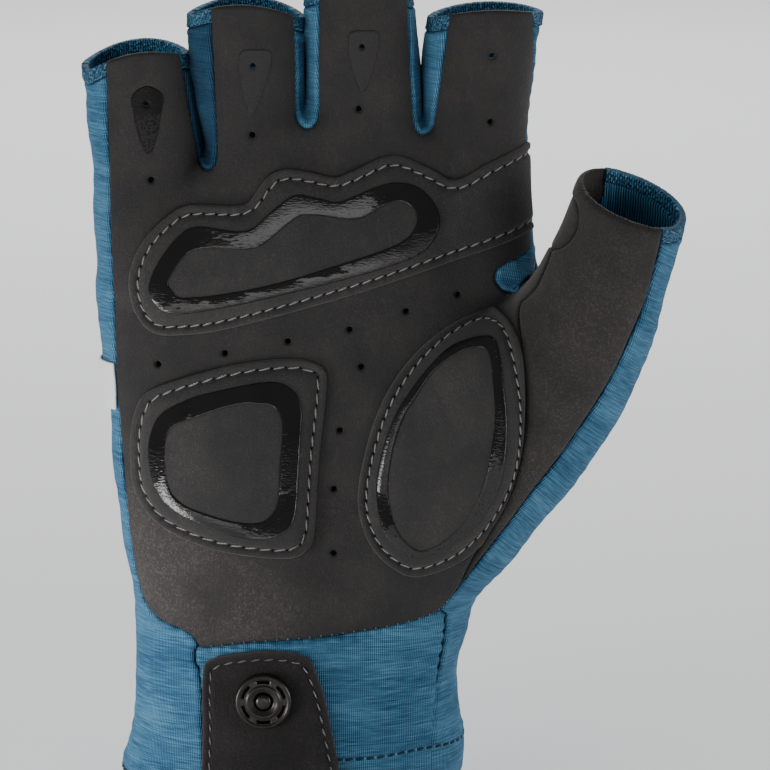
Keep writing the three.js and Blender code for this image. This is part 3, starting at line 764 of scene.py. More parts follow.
def eased_share(tree, value, low, high):
    """Runs from 0 to 1 as a value goes from low to high."""
    made = node(tree, "ShaderNodeMapRange", {"Value": value, "From Min": low, "From Max": high})
    made.interpolation_type = "SMOOTHSTEP"
    return made.outputs["Result"]


def mixed(tree, share, one, two, blend="MIX"):
    made = node(tree, "ShaderNodeMix", data_type="RGBA", blend_type=blend)
    for socket, value in ((made.inputs[0], share), (made.inputs[6], one), (made.inputs[7], two)):
        if isinstance(value, bpy.types.NodeSocket):
            tree.links.new(value, socket)
        else:
            socket.default_value = value
    return made.outputs[2]


def noise(tree, vector, stretch, detail=2.0, roughness=0.5):
    """Noise over a vector that is first stretched along its axes."""
    scaled = node(tree, "ShaderNodeVectorMath", {0: vector, 1: stretch}, operation="MULTIPLY")
    made = node(tree, "ShaderNodeTexNoise", {
        "Vector": scaled.outputs[0], "Scale": 1.0, "Detail": detail, "Roughness": roughness})
    return made.outputs["Fac"]


def roughened(tree, surface, height, depth, strength):
    """Gives a surface a fine relief, with its depth in metres."""
    bump = node(tree, "ShaderNodeBump", {"Height": height, "Distance": depth, "Strength": strength})
    tree.links.new(bump.outputs[0], surface.inputs["Normal"])


def shader_group(name, inputs, outputs):
    """An empty shader node group: its tree, its inputs and its output node."""
    tree = bpy.data.node_groups.new(name, "ShaderNodeTree")
    for socket, kind, value in inputs:
        tree.interface.new_socket(socket, in_out="INPUT", socket_type=kind).default_value = value
    for socket, kind in outputs:
        tree.interface.new_socket(socket, in_out="OUTPUT", socket_type=kind)
    return tree, tree.nodes.new("NodeGroupInput").outputs, tree.nodes.new("NodeGroupOutput")


def sends(tree, end, **values):
    for key, value in values.items():
        tree.links.new(value, end.inputs[key])


# Heather knit: streaks of three dyed shades lie along the rows, and fine ribs run along the limb
course_pitch = 0.37
inner_rib_pitch = 0.56
heather, given, end = shader_group("heather knit", [
    ("Weave", "NodeSocketVector", (0, 0, 0)), ("Light", "NodeSocketColor", (0.5, 0.5, 0.5, 1)),
    ("Middle", "NodeSocketColor", (0.3, 0.3, 0.3, 1)), ("Dark", "NodeSocketColor", (0.1, 0.1, 0.1, 1)),
    ("Rib Pitch", "NodeSocketFloat", 0.43)], [("Color", "NodeSocketColor"), ("Height", "NodeSocketFloat")])
parts = node(heather, "ShaderNodeSeparateXYZ", {0: given["Weave"]}).outputs
flat = node(heather, "ShaderNodeCombineXYZ", {0: parts[0], 1: parts[1]}).outputs[0]
long_streaks = noise(heather, flat, (0.09, 2.3, 1), detail=2.5, roughness=0.6)
short_streaks = noise(heather, flat, (0.26, 4.8, 1), detail=1.5)
patches = noise(heather, flat, (0.035, 0.16, 1))
streaks = plus(heather, times(heather, long_streaks, 0.46), times(heather, short_streaks, 0.4))
streaks = plus(heather, streaks, times(heather, patches, 0.3))
color = mixed(heather, eased_share(heather, streaks, 0.43, 0.58), given["Dark"], given["Middle"])
color = mixed(heather, eased_share(heather, streaks, 0.54, 0.7), color, given["Light"])
# The colour is darkened in the grooves between the fine ribs and loops, as painted shade
turns = math_node(heather, "DIVIDE", times(heather, parts[0], 2 * math.pi), given["Rib Pitch"])
rib = math_node(heather, "MULTIPLY_ADD", math_node(heather, "SINE", turns), 0.5, 0.5)
loops = math_node(heather, "SINE", times(heather, parts[1], 2 * math.pi / course_pitch))
shade = eased_share(heather, plus(heather, rib, times(heather, loops, 0.18)), 0.0, 0.9)
painted_rib_shade = mixed(heather, 1.0, color, (0.32, 0.37, 0.44, 1), "MULTIPLY")
color = mixed(heather, shade, painted_rib_shade, color)
# Seams get painted shade where the cloth turns in, and the inner side of the cloth is plain, with
# painted light on its rib crests and painted shade in its rib grooves
painted_seam_shade = mixed(heather, 1.0, color, (0.16, 0.19, 0.23, 1), "MULTIPLY")
color = mixed(heather, eased_share(heather, parts[2], 0.1, 0.9), color, painted_seam_shade)
inner_rib = math_node(heather, "SINE", times(heather, parts[0], 2 * math.pi / inner_rib_pitch))
rib_crest_painted_light = mixed(heather, 1.0, given["Middle"], (1.9, 1.9, 1.9, 1), "MULTIPLY")
rib_groove_painted_shade = mixed(heather, 1.0, given["Dark"], (0.6, 0.6, 0.6, 1), "MULTIPLY")
painted_rib_light_and_shade = mixed(heather, eased_share(heather, inner_rib, -0.7, 0.8), rib_groove_painted_shade, rib_crest_painted_light)
color = mixed(heather, eased_share(heather, parts[2], -0.2, -0.7), color, painted_rib_light_and_shade)
sends(heather, end, Color=color, Height=plus(heather, rib, times(heather, streaks, 0.9)))


def knit_material(name, light, middle, dark):
    """Matt stretch knit in three shades of its yarn."""
    material, tree, surface = shader(name)
    weave = node(tree, "ShaderNodeAttribute", attribute_name="weave").outputs["Vector"]
    cloth = node(tree, "ShaderNodeGroup", node_tree=heather)
    for key, value in (("Light", light), ("Middle", middle), ("Dark", dark)):
        cloth.inputs[key].default_value = (*value, 1)
    tree.links.new(weave, cloth.inputs["Weave"])
    tree.links.new(cloth.outputs["Color"], surface.inputs["Base Color"])
    roughened(tree, surface, cloth.outputs["Height"], 0.00012, 0.8)
    surface.inputs["Roughness"].default_value = 0.85
    surface.inputs["Specular IOR Level"].default_value = 0.15
    surface.inputs["Sheen Weight"].default_value = 0.05
    surface.inputs["Sheen Roughness"].default_value = 0.4
    surface.inputs["Sheen Tint"].default_value = (0.45, 0.75, 1.0, 1)
    return material


def finished(piece, material, cad_node):
    """Gives a piece its material, lets it ride on the glove and stand for its CAD node."""
    piece.data.materials.clear()
    piece.data.materials.append(material)
    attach(piece, "root")
    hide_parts(cad_node)
    return piece


knit = knit_material("heather knit", (0.12, 0.31, 0.46), (0.06, 0.18, 0.3), (0.028, 0.1, 0.185))


def hem_relief(place, around, along, room, run):
    stitched = np.exp(-((on_hem(*place[:, :3].T) - hem_stitch_drop) / 0.45) ** 2)
    return 0.1 * ripples(around, along, 14, 9, 3) - 0.25 * stitched


def hem_edges(place):
    """Only the fold at the bottom of the hem is rolled."""
    return 1 - 0.9 * smooth_step((place[:, 2] - 1.5) / 1.5)


for name, faces in (("hem_front", hem_front), ("hem_back", hem_back)):
    piece, *_ = panel(name, faces, 0.1, 2.2, 0.8, hem_relief, hem_edges)
    finished(piece, knit, "cuff_hem")

# Finger gores, outlined here because the palm leather is cut round them
# They are narrow knit walls between the fingers, sewn to the leather fronts: left, right and
# bottom of each, and its left and right at the top.

gores = {
    "little_ring": (-21.2, -16.3, 136.0, -26.6, -17.4),
    "ring_middle": (-0.1, 5.1, 145.0, -0.4, 5.3),
    "middle_index": (24.6, 29.6, 143.3, 23.4, 33.4),
}
gore_top = 176
# The fork of each gore is a half ellipse of this height
gore_fork = 3.4
# The gores reach back to this depth at their foot, and less far towards the finger tips
gore_back, gore_back_slope, gore_foot = 4, 0.22, 136


def inside_outline(outline, x, z):
    """Distance in from a closed outline seen from the front, negative outside it."""
    result = np.full(len(x), -3.0)
    low, high = outline.min(axis=0) - 3, outline.max(axis=0) + 3
    near = np.flatnonzero((x > low[0]) & (x < high[0]) & (z > low[1]) & (z < high[1]))
    after = np.roll(outline, -1, axis=0)
    run = after - outline
    length = np.maximum((run * run).sum(1), 1e-9)
    for part in np.array_split(near, len(near) // 20000 + 1):
        px, pz = x[part, None], z[part, None]
        dx, dz = px - outline[:, 0], pz - outline[:, 1]
        t = np.clip((dx * run[:, 0] + dz * run[:, 1]) / length, 0, 1)
        nearest = np.sqrt(((dx - t * run[:, 0]) ** 2 + (dz - t * run[:, 1]) ** 2).min(axis=1))
        above = (outline[:, 1] > pz) != (after[:, 1] > pz)
        slope = run[:, 0] / np.where(np.abs(run[:, 1]) < 1e-9, 1e-9, run[:, 1])
        odd = ((px < outline[:, 0] + dz * slope) & above).sum(axis=1) % 2 == 1
        result[part] = np.where(odd, nearest, -nearest)
    return result


def gore_seam(left, right, bottom, left_top, right_top):
    angles = np.linspace(math.pi, 2 * math.pi, 9)
    bow = [((left + right) / 2 + (right - left) / 2 * math.cos(a), bottom + gore_fork * (1 + math.sin(a)))
           for a in angles]
    return np.array([(right_top, gore_top), (left_top, gore_top), *bow])


gore_outlines = {name: gore_seam(*sizes) for name, sizes in gores.items()}


def on_gore(name, x, y, z):
    back = gore_back - gore_back_slope * (z - gore_foot)
    return np.minimum(inside_outline(gore_outlines[name], x, z), back - y)


# Palm leather
# One piece of grey suede from the wrist to the four finger fronts, punched with air holes.
# Its edges are rolled into the seams, and the wrist edge is drawn in by each stitch.

palm_back = -2.0


def rounded_outline(outline, rounds=2):
    """A closed outline with its corners cut off evenly, so that it runs smoothly."""
    outline = np.array(outline, float)
    for _ in range(rounds):
        after = np.roll(outline, -1, axis=0)
        outline = np.stack([outline * 0.75 + after * 0.25, outline * 0.25 + after * 0.75], 1).reshape(-1, 2)
    return outline


palm_seam = rounded_outline([
    (-39.2, 190), (-39.4, 150), (-39.2, 130), (-38.8, 96), (-37.6, 70), (-36.2, 55), (-34.7, 44),
    (-33.3, 40.4), (-31.4, 38.4), (-29.2, 37.2), (-26.2, 36.5), (-24, 35.9), (-22.3, 34.6), (-21.5, 33),
    (-20.3, 32.5), (-17, 33.2), (-9, 34.4), (0.4, 34.9), (11.8, 36.2), (26.3, 38.7),
    (32.8, 41.6), (39.2, 56.9), (45.1, 66.8), (48, 77.8), (48.6, 88.6), (48, 99.4), (46.5, 107.8),
    (50.1, 111.5), (51.7, 114.4), (54.4, 121.1), (52.4, 120.6), (50.4, 114.6), (48.2, 111),
    (46.6, 109.4), (44.2, 109.8), (42, 112.6), (42.4, 115.2), (44.6, 116.6), (47.8, 117.5), (50.2, 119),
    (49.8, 122), (48.8, 130), (48.6, 142),
    (49.6, 152), (50.2, 158.5), (50.2, 162), (50.1, 166), (49.4, 170), (49.2, 190)])


def on_palm(x, y, z):
    room = np.minimum(inside_outline(palm_seam, x, z), palm_back - y)
    return np.minimum.reduce([room, *(-on_gore(name, x, y, z) for name in gores)])


skin, palm_whole, rest = seamed(skin, rest, on_palm)

# Air holes: x and z
air_holes = np.array([
    (-30.5, 134.3), (-9, 144), (-8.7, 158.7), (13.4, 149.5), (14.1, 162.7), (41.3, 160.7), (41.1, 146.6),
    (-31.2, 150.5), (-29.5, 94.7), (-15.1, 97.6), (-1.7, 100.2), (11.4, 102.7), (23.4, 106.6),
    (34.4, 109.9), (13.9, 94.7), (9.3, 80.8), (8, 67.8), (7.9, 53.7)])
air_hole_radius = 0.62


def hole_room(x, y, z):
    return np.hypot(x[:, None] - air_holes[:, 0], z[:, None] - air_holes[:, 1]).min(axis=1) - air_hole_radius


palm_faces = palm_whole
for length, reach in ((0.4, 1.0), (0.16, 0.3)):
    skin, palm_faces = finer(skin, palm_faces, hole_room, length, reach)
skin, palm_faces, _ = cut(skin, palm_faces, hole_room)

# Suede: a short nap with light specks, mottled by handling, over an uneven grain
nap, given, end = shader_group("suede nap", [
    ("Place", "NodeSocketVector", (0, 0, 0)), ("Edge", "NodeSocketFloat", 0.0),
    ("Base", "NodeSocketColor", (0.03, 0.03, 0.03, 1)), ("Speck", "NodeSocketColor", (0.1, 0.09, 0.08, 1)),
    ("Cut Edge And Seam Shade", "NodeSocketColor", (0.1, 0.1, 0.1, 1)), ("Worn", "NodeSocketFloat", 0.3)],
    [("Color", "NodeSocketColor"), ("Height", "NodeSocketFloat")])
grain = noise(nap, given["Place"], (2400, 2400, 2400), detail=3, roughness=0.62)
specks = noise(nap, given["Place"], (2700, 2700, 2300), detail=2)
scuffs = noise(nap, given["Place"], (1000, 1000, 800), detail=4, roughness=0.72)
mottle = noise(nap, given["Place"], (160, 160, 160), detail=3)
strokes = noise(nap, given["Place"], (1900, 1900, 420), detail=2)
rubbed = eased_share(nap, noise(nap, given["Place"], (60, 60, 50), detail=3), 0.38, 0.64)
worn = times(nap, given["Worn"], math_node(nap, "MULTIPLY_ADD", rubbed, 0.7, 0.3))
mottled = mixed(nap, eased_share(nap, mottle, 0.3, 0.72), (0.88, 0.88, 0.9, 1), (1.12, 1.11, 1.08, 1))
color = mixed(nap, 1.0, given["Base"], mottled, "MULTIPLY")
for lightened in (
        times(nap, worn, 0.28),
        times(nap, eased_share(nap, specks, 0.5, 0.72), worn),
        times(nap, eased_share(nap, scuffs, 0.5, 0.64), times(nap, worn, 0.45)),
        times(nap, eased_share(nap, strokes, 0.56, 0.78), 0.15)):
    color = mixed(nap, lightened, color, given["Speck"])
# Needle holes are marked by an edge value of -0.5 and get painted shade, and the inner side of the leather by
# -1
needle_hole_shade = times(nap, eased_share(nap, given["Edge"], -0.05, -0.4),
                    eased_share(nap, given["Edge"], -0.9, -0.6))
color = mixed(nap, needle_hole_shade, color, (0.004, 0.004, 0.004, 1))
# At the edges the cut colour is laid on: pale cut edges on patches and tab, painted shade in palm and thumb
# seams
sends(nap, end, Color=mixed(nap, times(nap, given["Edge"], 0.8), color, given["Cut Edge And Seam Shade"]),
      Height=plus(nap, grain, times(nap, specks, 0.7)))


# Share of wear in a worn place, which on the palm is also painted light, and how far it fades beside
# and above it, in metres
most_worn_and_lit = 0.9
worn_and_lit_fade_beside, worn_and_lit_fade_above = 0.04, 0.035


def suede_material(name, base, speck, cut_edge_and_seam_shade, worn=0.35, worn_and_lit_place=None, relief=0.00018):
    """Brushed synthetic suede, most worn left of and below a worn place, x and z in metres; on the palm also
    painted light.
    """
    material, tree, surface = shader(name)
    weave = node(tree, "ShaderNodeAttribute", attribute_name="weave").outputs["Vector"]
    leather = node(tree, "ShaderNodeGroup", node_tree=nap)
    for key, value in (("Base", base), ("Speck", speck), ("Cut Edge And Seam Shade", cut_edge_and_seam_shade)):
        leather.inputs[key].default_value = (*value, 1)
    place = node(tree, "ShaderNodeTexCoord").outputs["Object"]
    tree.links.new(place, leather.inputs["Place"])
    tree.links.new(node(tree, "ShaderNodeSeparateXYZ", {0: weave}).outputs[2], leather.inputs["Edge"])
    leather.inputs["Worn"].default_value = worn
    if worn_and_lit_place:
        parts = node(tree, "ShaderNodeSeparateXYZ", {0: place}).outputs
        below = eased_share(tree, parts[2], worn_and_lit_place[1] + worn_and_lit_fade_above, worn_and_lit_place[1])
        beside = eased_share(tree, parts[0], worn_and_lit_place[0] + worn_and_lit_fade_beside, worn_and_lit_place[0])
        much = math_node(tree, "MULTIPLY_ADD", times(tree, below, beside), most_worn_and_lit - worn, worn)
        tree.links.new(much, leather.inputs["Worn"])
    tree.links.new(leather.outputs["Color"], surface.inputs["Base Color"])
    roughened(tree, surface, leather.outputs["Height"], relief, 0.9)
    surface.inputs["Roughness"].default_value = 0.85
    surface.inputs["Specular IOR Level"].default_value = 0.25
    surface.inputs["Sheen Weight"].default_value = 0.15
    surface.inputs["Sheen Roughness"].default_value = 0.45
    surface.inputs["Sheen Tint"].default_value = (1.0, 0.94, 0.9, 1)
    return material


# The dark cut colour on the palm is painted shade along its seams
suede = suede_material("suede", (0.0248, 0.0239, 0.0239), (0.095, 0.083, 0.078), (0.006, 0.006, 0.006),
                       # The palm is lighter at its lower left as wear and as painted light
                       worn=0.22, worn_and_lit_place=(-0.022, 0.05))

# The wrist edge of the palm lies below this height and is drawn in at this pitch
wrist_top = 44
wrist_pitch = 2.1


def palm_relief(place, around, along, room, run):
    at_wrist = smooth_step((wrist_top - place[:, 2]) / 4)
    drawn_in = 0.5 + 0.5 * np.cos(2 * math.pi * run / wrist_pitch)
    scallops = -0.2 * at_wrist * drawn_in * np.exp(-room / 0.7)
    return scallops + 0.1 * ripples(around, along, 26, 30, 11)


palm_piece, palm_top, palm_top_faces = panel("palm_leather", palm_faces, 0.3, 1.2, 0.55, palm_relief)
finished(palm_piece, suede, "palm_panel")

# Thumb leather
# The front of the thumb and a narrow strip on its inner side, in the same suede.
# Both are seamed to the palm, and the seams sink between the rolled edges.

strip_seam = rounded_outline([
    (53, 133), (53, 130), (52.2, 126), (50.6, 119.4), (54.8, 121.2), (56.8, 122.9), (58.6, 126),
    (59, 129), (58.8, 131.2), (57.8, 132.6)])
strip_top = 133
thumb_seam = rounded_outline([
    (48, 145), (44, 108), (42, 70), (31, 47), (32.6, 42), (40.4, 54), (50.1, 67.9), (61.4, 84.3),
    (67.3, 96.4), (72.3, 108), (74.9, 118.5), (76.3, 127), (77.5, 145)])

# The strip reaches round to the back of the thumb from this depth, and above it the thumb leather does
# the same. It starts a little under the strip's top, so that no knit is left between them.
strip_back_seam = np.array([(52, 150), (52, 117), (57, 117), (61.2, 123), (64.7, 132), (66, 150)])
strip_turn = -22
lip_overlap = 3
# The thumb leather ends at this depth behind, and further forward towards the thumb's tip
thumb_back, thumb_back_slope, thumb_back_from = -2, 0.24, 45


def on_strip(x, y, z):
    behind = np.minimum(inside_outline(strip_back_seam, x, z), y - strip_turn)
    return np.minimum(np.maximum(inside_outline(strip_seam, x, z), behind), strip_top - z)


def on_thumb(x, y, z):
    back = thumb_back - thumb_back_slope * np.maximum(z - thumb_back_from, 0)
    front = np.minimum(inside_outline(thumb_seam, x, z), back - y)
    lip = np.minimum(inside_outline(strip_back_seam, x, z), z - strip_top + lip_overlap)
    return np.maximum(front, lip)


def thumb_relief(place, around, along, room, run):
    return 0.1 * ripples(around, along, 22, 16, 12) - 0.35 * np.exp(-room / 0.9)


# The dark cut colour on the thumb pieces is painted shade along their seams
thumb_suede = suede_material(
    "thumb suede", (0.0196, 0.0186, 0.0182), (0.085, 0.075, 0.07), (0.004, 0.004, 0.004), worn=0.62)
for name, rule, proud, cad_node in (("thumb_strip", on_strip, 0.2, "thumb_gusset"),
                                    ("thumb_leather", on_thumb, 0.5, "thumb_panel")):
    skin, faces, rest = seamed(skin, rest, rule)
    piece, *_ = panel(name, faces, proud, 1.2, 1.0, thumb_relief)
    finished(piece, thumb_suede, cad_node)

# Overlocked edges at the finger and thumb openings
# The knit's raw edge is wrapped in a close zigzag of blue thread, three millimetres deep.
# The leather fronts run through to the opening without it.

rim_height = 3.0
thread_pitch = 0.7
thread_slant = 0.55
thread_rise = 0.17
# A chain of loops runs this far above the lower edge of the zigzag
chain_inset, chain_width, chain_rise = 0.35, 0.25, 0.14


def on_rim(x, y, z):
    return rim_height - tip_room(x, y, z)


def moved_in(rule, depth):
    """The line that lies a depth further inside a seam."""
    return lambda x, y, z: rule(x, y, z) - depth


skin, rim_faces, rest = seamed(skin, rest, on_rim, 0.6)
middles = skin[rim_faces, :3].mean(axis=1)
owner = sum((middles[:, 0] > line(middles[:, 2])).astype(int) for line in finger_lines)
owner[middles[:, 0] > thumb_x] = len(finger_rows)


def overlock(place, around, along, room, run):
    below = tip_room(*place[:, :3].T)
    threads = np.abs(np.cos(math.pi * (around + thread_slant * below) / thread_pitch))
    loops = np.abs(np.cos(math.pi * around / thread_pitch))
    chain = np.exp(-((below - rim_height + chain_inset) / chain_width) ** 2) * loops
    return thread_rise * threads + chain_rise * chain


binding, tree, surface = shader("overlock thread")
weave = node(tree, "ShaderNodeAttribute", attribute_name="weave").outputs["Vector"]
parts = node(tree, "ShaderNodeSeparateXYZ", {0: weave}).outputs
phase = plus(tree, parts[0], times(tree, parts[1], -thread_slant))
wave = math_node(tree, "COSINE", times(tree, phase, 2 * math.pi / thread_pitch))
spots = noise(tree, weave, (1.3, 2.2, 0), detail=3)
share = plus(tree, spots, times(tree, wave, 0.07))
color = mixed(tree, eased_share(tree, share, 0.40, 0.52), (0.006, 0.026, 0.052, 1), (0.03, 0.1, 0.17, 1))
color = mixed(tree, eased_share(tree, share, 0.56, 0.68), color, (0.1, 0.23, 0.31, 1))
# On the inner side the ribs are painted: lighter crests as painted light, darker grooves as painted shade
inner_ribs = math_node(tree, "SINE", times(tree, parts[0], 2 * math.pi / inner_rib_pitch))
ribs = mixed(tree, eased_share(tree, inner_ribs, -0.6, 0.7), (0.6, 0.6, 0.6, 1), (2.0, 2.2, 2.3, 1))
painted_rib_light_and_shade = mixed(tree, 1.0, color, ribs, "MULTIPLY")
color = mixed(tree, eased_share(tree, parts[2], -0.3, -0.9), color, painted_rib_light_and_shade)
tree.links.new(color, surface.inputs["Base Color"])
roughened(tree, surface, share, 0.0003, 0.8)
surface.inputs["Roughness"].default_value = 0.7
surface.inputs["Specular IOR Level"].default_value = 0.2

for number, name in enumerate([*finger_rows, "thumb"]):
    skin, faces = finer(skin, rim_faces[owner == number], moved_in(on_rim, rim_height / 2), 0.36, 2)
    piece, *_ = panel("rim_" + name, faces, 0.2, 1.5, 0.45, overlock)
    finished(piece, binding, "rim_" + name)

# Finger gores
# Each gore is a strip of knit rounded at the fork of the fingers. The one beside the little
# finger is darkened as painted shade, and the other two are lightened as painted light. Beside the
# leather they are drawn up into a narrow piped roll.


def gore_relief(place, around, along, room, run):
    return 0.45 * np.exp(-((room - 1.05) / 0.65) ** 2) + 0.12 * ripples(around, along, 8, 14, 21)


# Copies of the knit: a darker one with painted shade and a lighter one with painted light
gore_knit_painted_shade = knit_material(
    "gore knit with painted shade", (0.034, 0.1, 0.17), (0.02, 0.066, 0.12), (0.011, 0.04, 0.08))
gore_knit_painted_light = knit_material("gore knit", (0.13, 0.34, 0.5), (0.08, 0.225, 0.36), (0.045, 0.14, 0.24))
gore_knits = {"little_ring": gore_knit_painted_shade, "ring_middle": gore_knit_painted_light, "middle_index": gore_knit_painted_light}
for name in gores:
    skin, faces, rest = seamed(skin, rest, lambda x, y, z: on_gore(name, x, y, z))
    piece, *_ = panel("gore_" + name, faces, 0.0, 1.1, 0.55, gore_relief)
    finished(piece, gore_knits[name], "fourchette_" + name)

# Front of the cuff
# Knit between two upright seams under the palm leather. It is gathered a little, so it lies in
# small level creases, and the right seam puckers.

cuff_seam = rounded_outline([
    (-21.2, 46), (-21.1, 33.6), (-22.9, 30.8), (-20.6, 25.4), (-20.4, -12), (29, -12), (29, 14), (31, 27.5),
    (33, 46)])


def on_cuff(x, y, z):
    return np.minimum(inside_outline(cuff_seam, x, z), palm_back - y)


def gathered(place, around, along, room, run):
    creases = 0.06 * ripples(around, along, 40, 3.2, 31, 9) + 0.2 * ripples(around, along, 50, 13, 32)
    wave = 2 * math.pi * run / 2.9 + ripples(around, along, 9, 9, 33)
    puckers = 0.26 * np.exp(-room / 2.4) * np.sin(wave)
    return creases + puckers + 0.3 * np.exp(-((room - 1.4) / 0.8) ** 2)


def fading_seam(place):
    """The right seam of the cuff closes towards the hem, and the seam with the hem lies flat."""
    beside = (place[:, 0] > 20) * smooth_step((28 - place[:, 2]) / 9)
    above_hem = smooth_step((on_hem(*place[:, :3].T) + 3) / 1.5)
    return 1 - 0.92 * np.maximum(beside, above_hem)


skin, cuff_faces, rest = seamed(skin, rest, on_cuff)
piece, *_ = panel("cuff_knit", cuff_faces, 0.0, 1.1, 0.6, gathered, fading_seam)
finished(piece, knit, "cuff_front")

# Back of the glove
# One large piece of the heather knit covers the back of the hand, the fingers and the thumb,
# and comes round both sides to the leather. It bulges a little beside its seams.


def stretched(place, around, along, room, run):
    x, y, z = place[:, :3].T
    low = smooth_step((60 - z) / 40)
    fine_creases = 0.05 * ripples(around, along, 50, 4, 41, 9)
    creases = fine_creases + (0.16 + 0.1 * low) * ripples(around, along, 45, 20, 42)
    wave = 2 * math.pi * run / 3.1 + ripples(around, along, 11, 11, 43)
    puckers = (0.12 + 0.14 * low) * np.exp(-room / 2.2) * np.sin(wave)
    web_fold = 1.3 * np.exp(-((x - 48.5) / 3.5) ** 2 - ((z - 112.5) / 2.2) ** 2) * (y < 0)
    return creases + puckers + web_fold + 0.3 * np.exp(-((room - 1.2) / 0.7) ** 2)


piece, *_ = panel("back_knit", rest, 0.0, 1.1, 0.6, stretched, fading_seam)
finished(piece, knit, "back_panel")

# Padded patches on the palm
# Three pieces of suede over foam are sewn down with pale thread in a groove along their edge. The
# knuckle patch runs out in a flat strap to the side seam. Each cover is blown up as a cloth.

pad_outlines = {
    "knuckle": [
        (52, 143.2), (48.9, 141.5), (40.9, 137.9), (33.9, 134.3), (28.4, 136.6), (20.4, 139.6), (12.7, 136.6),
        (8.4, 135), (2.8, 136.1), (-2.4, 136.6), (-6, 134.9), (-9.6, 130), (-13, 129), (-22.7, 128.8),
        (-27.6, 126.2), (-32.6, 120.8), (-35.2, 113.5), (-34.2, 106.2), (-30.6, 101.7), (-24.3, 101.3),
        (-13.3, 103.2), (12.7, 110.6), (38.5, 119), (49.8, 123), (53, 124.2), (54.5, 134)],
    "heel": [
        (-1, 96.5), (-13, 95.2), (-25.4, 91.5), (-32.4, 87.9), (-35, 81), (-35.4, 73.6), (-34.4, 66),
        (-29.1, 59.4), (-17.6, 54.9), (-3, 53), (2, 54.7), (3.6, 59), (4.6, 74), (6.5, 91), (5, 95)],
    "thenar": [
        (41.6, 106.3), (33.6, 104), (25.6, 97.8), (19.5, 89.5), (15.5, 79.2), (13.2, 66), (15.4, 56.9),
        (20, 51.5), (26, 49.2), (35.5, 53.2), (42.8, 61), (48, 72.1), (49.4, 85), (48.2, 97), (46, 104.4)],
}
# The padding of the knuckle patch ends at the first x and is full at the second: the strap has none
pad_filling = {"knuckle": (40, 27), "heel": None, "thenar": None}
# The cloth is simulated at 20 mm to a unit of length, over foam of this thickness. It may sink and
# rise by the two limits.
cloth_size = 0.02
foam = 1.4
cloth_steps = 20
most_sunk, most_risen = -0.15, 1.0


def smooth_outline(outline, steps=5):
    """A closed smooth curve through the points of an outline."""
    b = np.array(outline, float)
    a, c, d = np.roll(b, 1, axis=0), np.roll(b, -1, axis=0), np.roll(b, -2, axis=0)
    t = np.arange(steps)[None, :, None] / steps
    a, b, c, d = (row[:, None, :] for row in (a, b, c, d))
    curve = b + t * (c - a) / 2 + t**2 * (a - 2.5 * b + 2 * c - d / 2) + t**3 * (1.5 * (b - c) + (d - a) / 2)
    return curve.reshape(-1, 2)


def filled_share(name, x):
    if pad_filling[name] is None:
        return np.ones(len(x))
    empty, full = pad_filling[name]
    return smooth_step((empty - x) / (empty - full))


def blown_up(name, points, faces, depth):
    """How far the filling lifts the cover at each point, in millimetres, from a cloth simulation."""
    share = smooth_step((depth - 2.2) / 3) * filled_share(name, points[:, 0])
    count = len(points)
    top = points[:, :3] + foam * points[:, 6:9]
    corner, other = open_edges(faces).T
    sides = np.concatenate([np.stack([other, corner, corner + count], 1),
                            np.stack([other, corner + count, other + count], 1)])
    every = np.concatenate([faces, faces[:, ::-1] + count, sides])
    mesh = bpy.data.meshes.new("cover")
    mesh.from_pydata((np.concatenate([top, points[:, :3]]) * cloth_size).tolist(), [], every.tolist())
    cover = bpy.data.objects.new("cover", mesh)
    bpy.context.scene.collection.objects.link(cover)
    held = cover.vertex_groups.new(name="held")
    sewn_down = np.flatnonzero(share < 0.02).tolist()
    held.add(sewn_down + list(range(count, 2 * count)), 1.0, "REPLACE")
    cloth = cover.modifiers.new("Cloth", "CLOTH")
    cloth.settings.vertex_group_mass = "held"
    cloth.settings.use_pressure = True
    cloth.settings.uniform_pressure_force = 4
    cloth.settings.effector_weights.gravity = 0
    cloth.settings.quality = 5
    cloth.settings.tension_stiffness = cloth.settings.compression_stiffness = 12
    cloth.settings.bending_stiffness = 2
    for number in range(1, cloth_steps + 1):
        bpy.context.scene.frame_set(number)
    shaped = cover.evaluated_get(bpy.context.evaluated_depsgraph_get()).data
    places = np.empty(6 * count)
    shaped.vertices.foreach_get("co", places)
    lift = ((places.reshape(-1, 3)[:count] / cloth_size - top) * points[:, 6:9]).sum(1)
    bpy.context.scene.frame_set(1)
    bpy.data.objects.remove(cover)
    return np.clip(lift, most_sunk, most_risen) * share


def line_along(points, faces, rule):
    """The longest line on some faces where a rule passes through zero, in order."""
    points, kept, _ = cut(points, faces, rule)
    runs = []
    for loop in edge_loops(kept):
        on = np.abs(rule(*points[loop, :3].T)) < 0.06
        if on.all():
            runs.append(loop)
        for start in np.flatnonzero(on & ~np.roll(on, 1)):
            runs.append(np.roll(loop, -start)[:np.argmin(np.roll(on, -start))])
    return points[max(runs, key=len)]


def spaced(line, pitch):
    """Points at an even pitch along a line."""
    length = length_run(line[:, :3])
    count = int(round(length[-1] / pitch))
    steps = np.linspace(0, length[-1], count + 1)
    return np.column_stack([np.interp(steps, length, line[:, column]) for column in range(line.shape[1])])


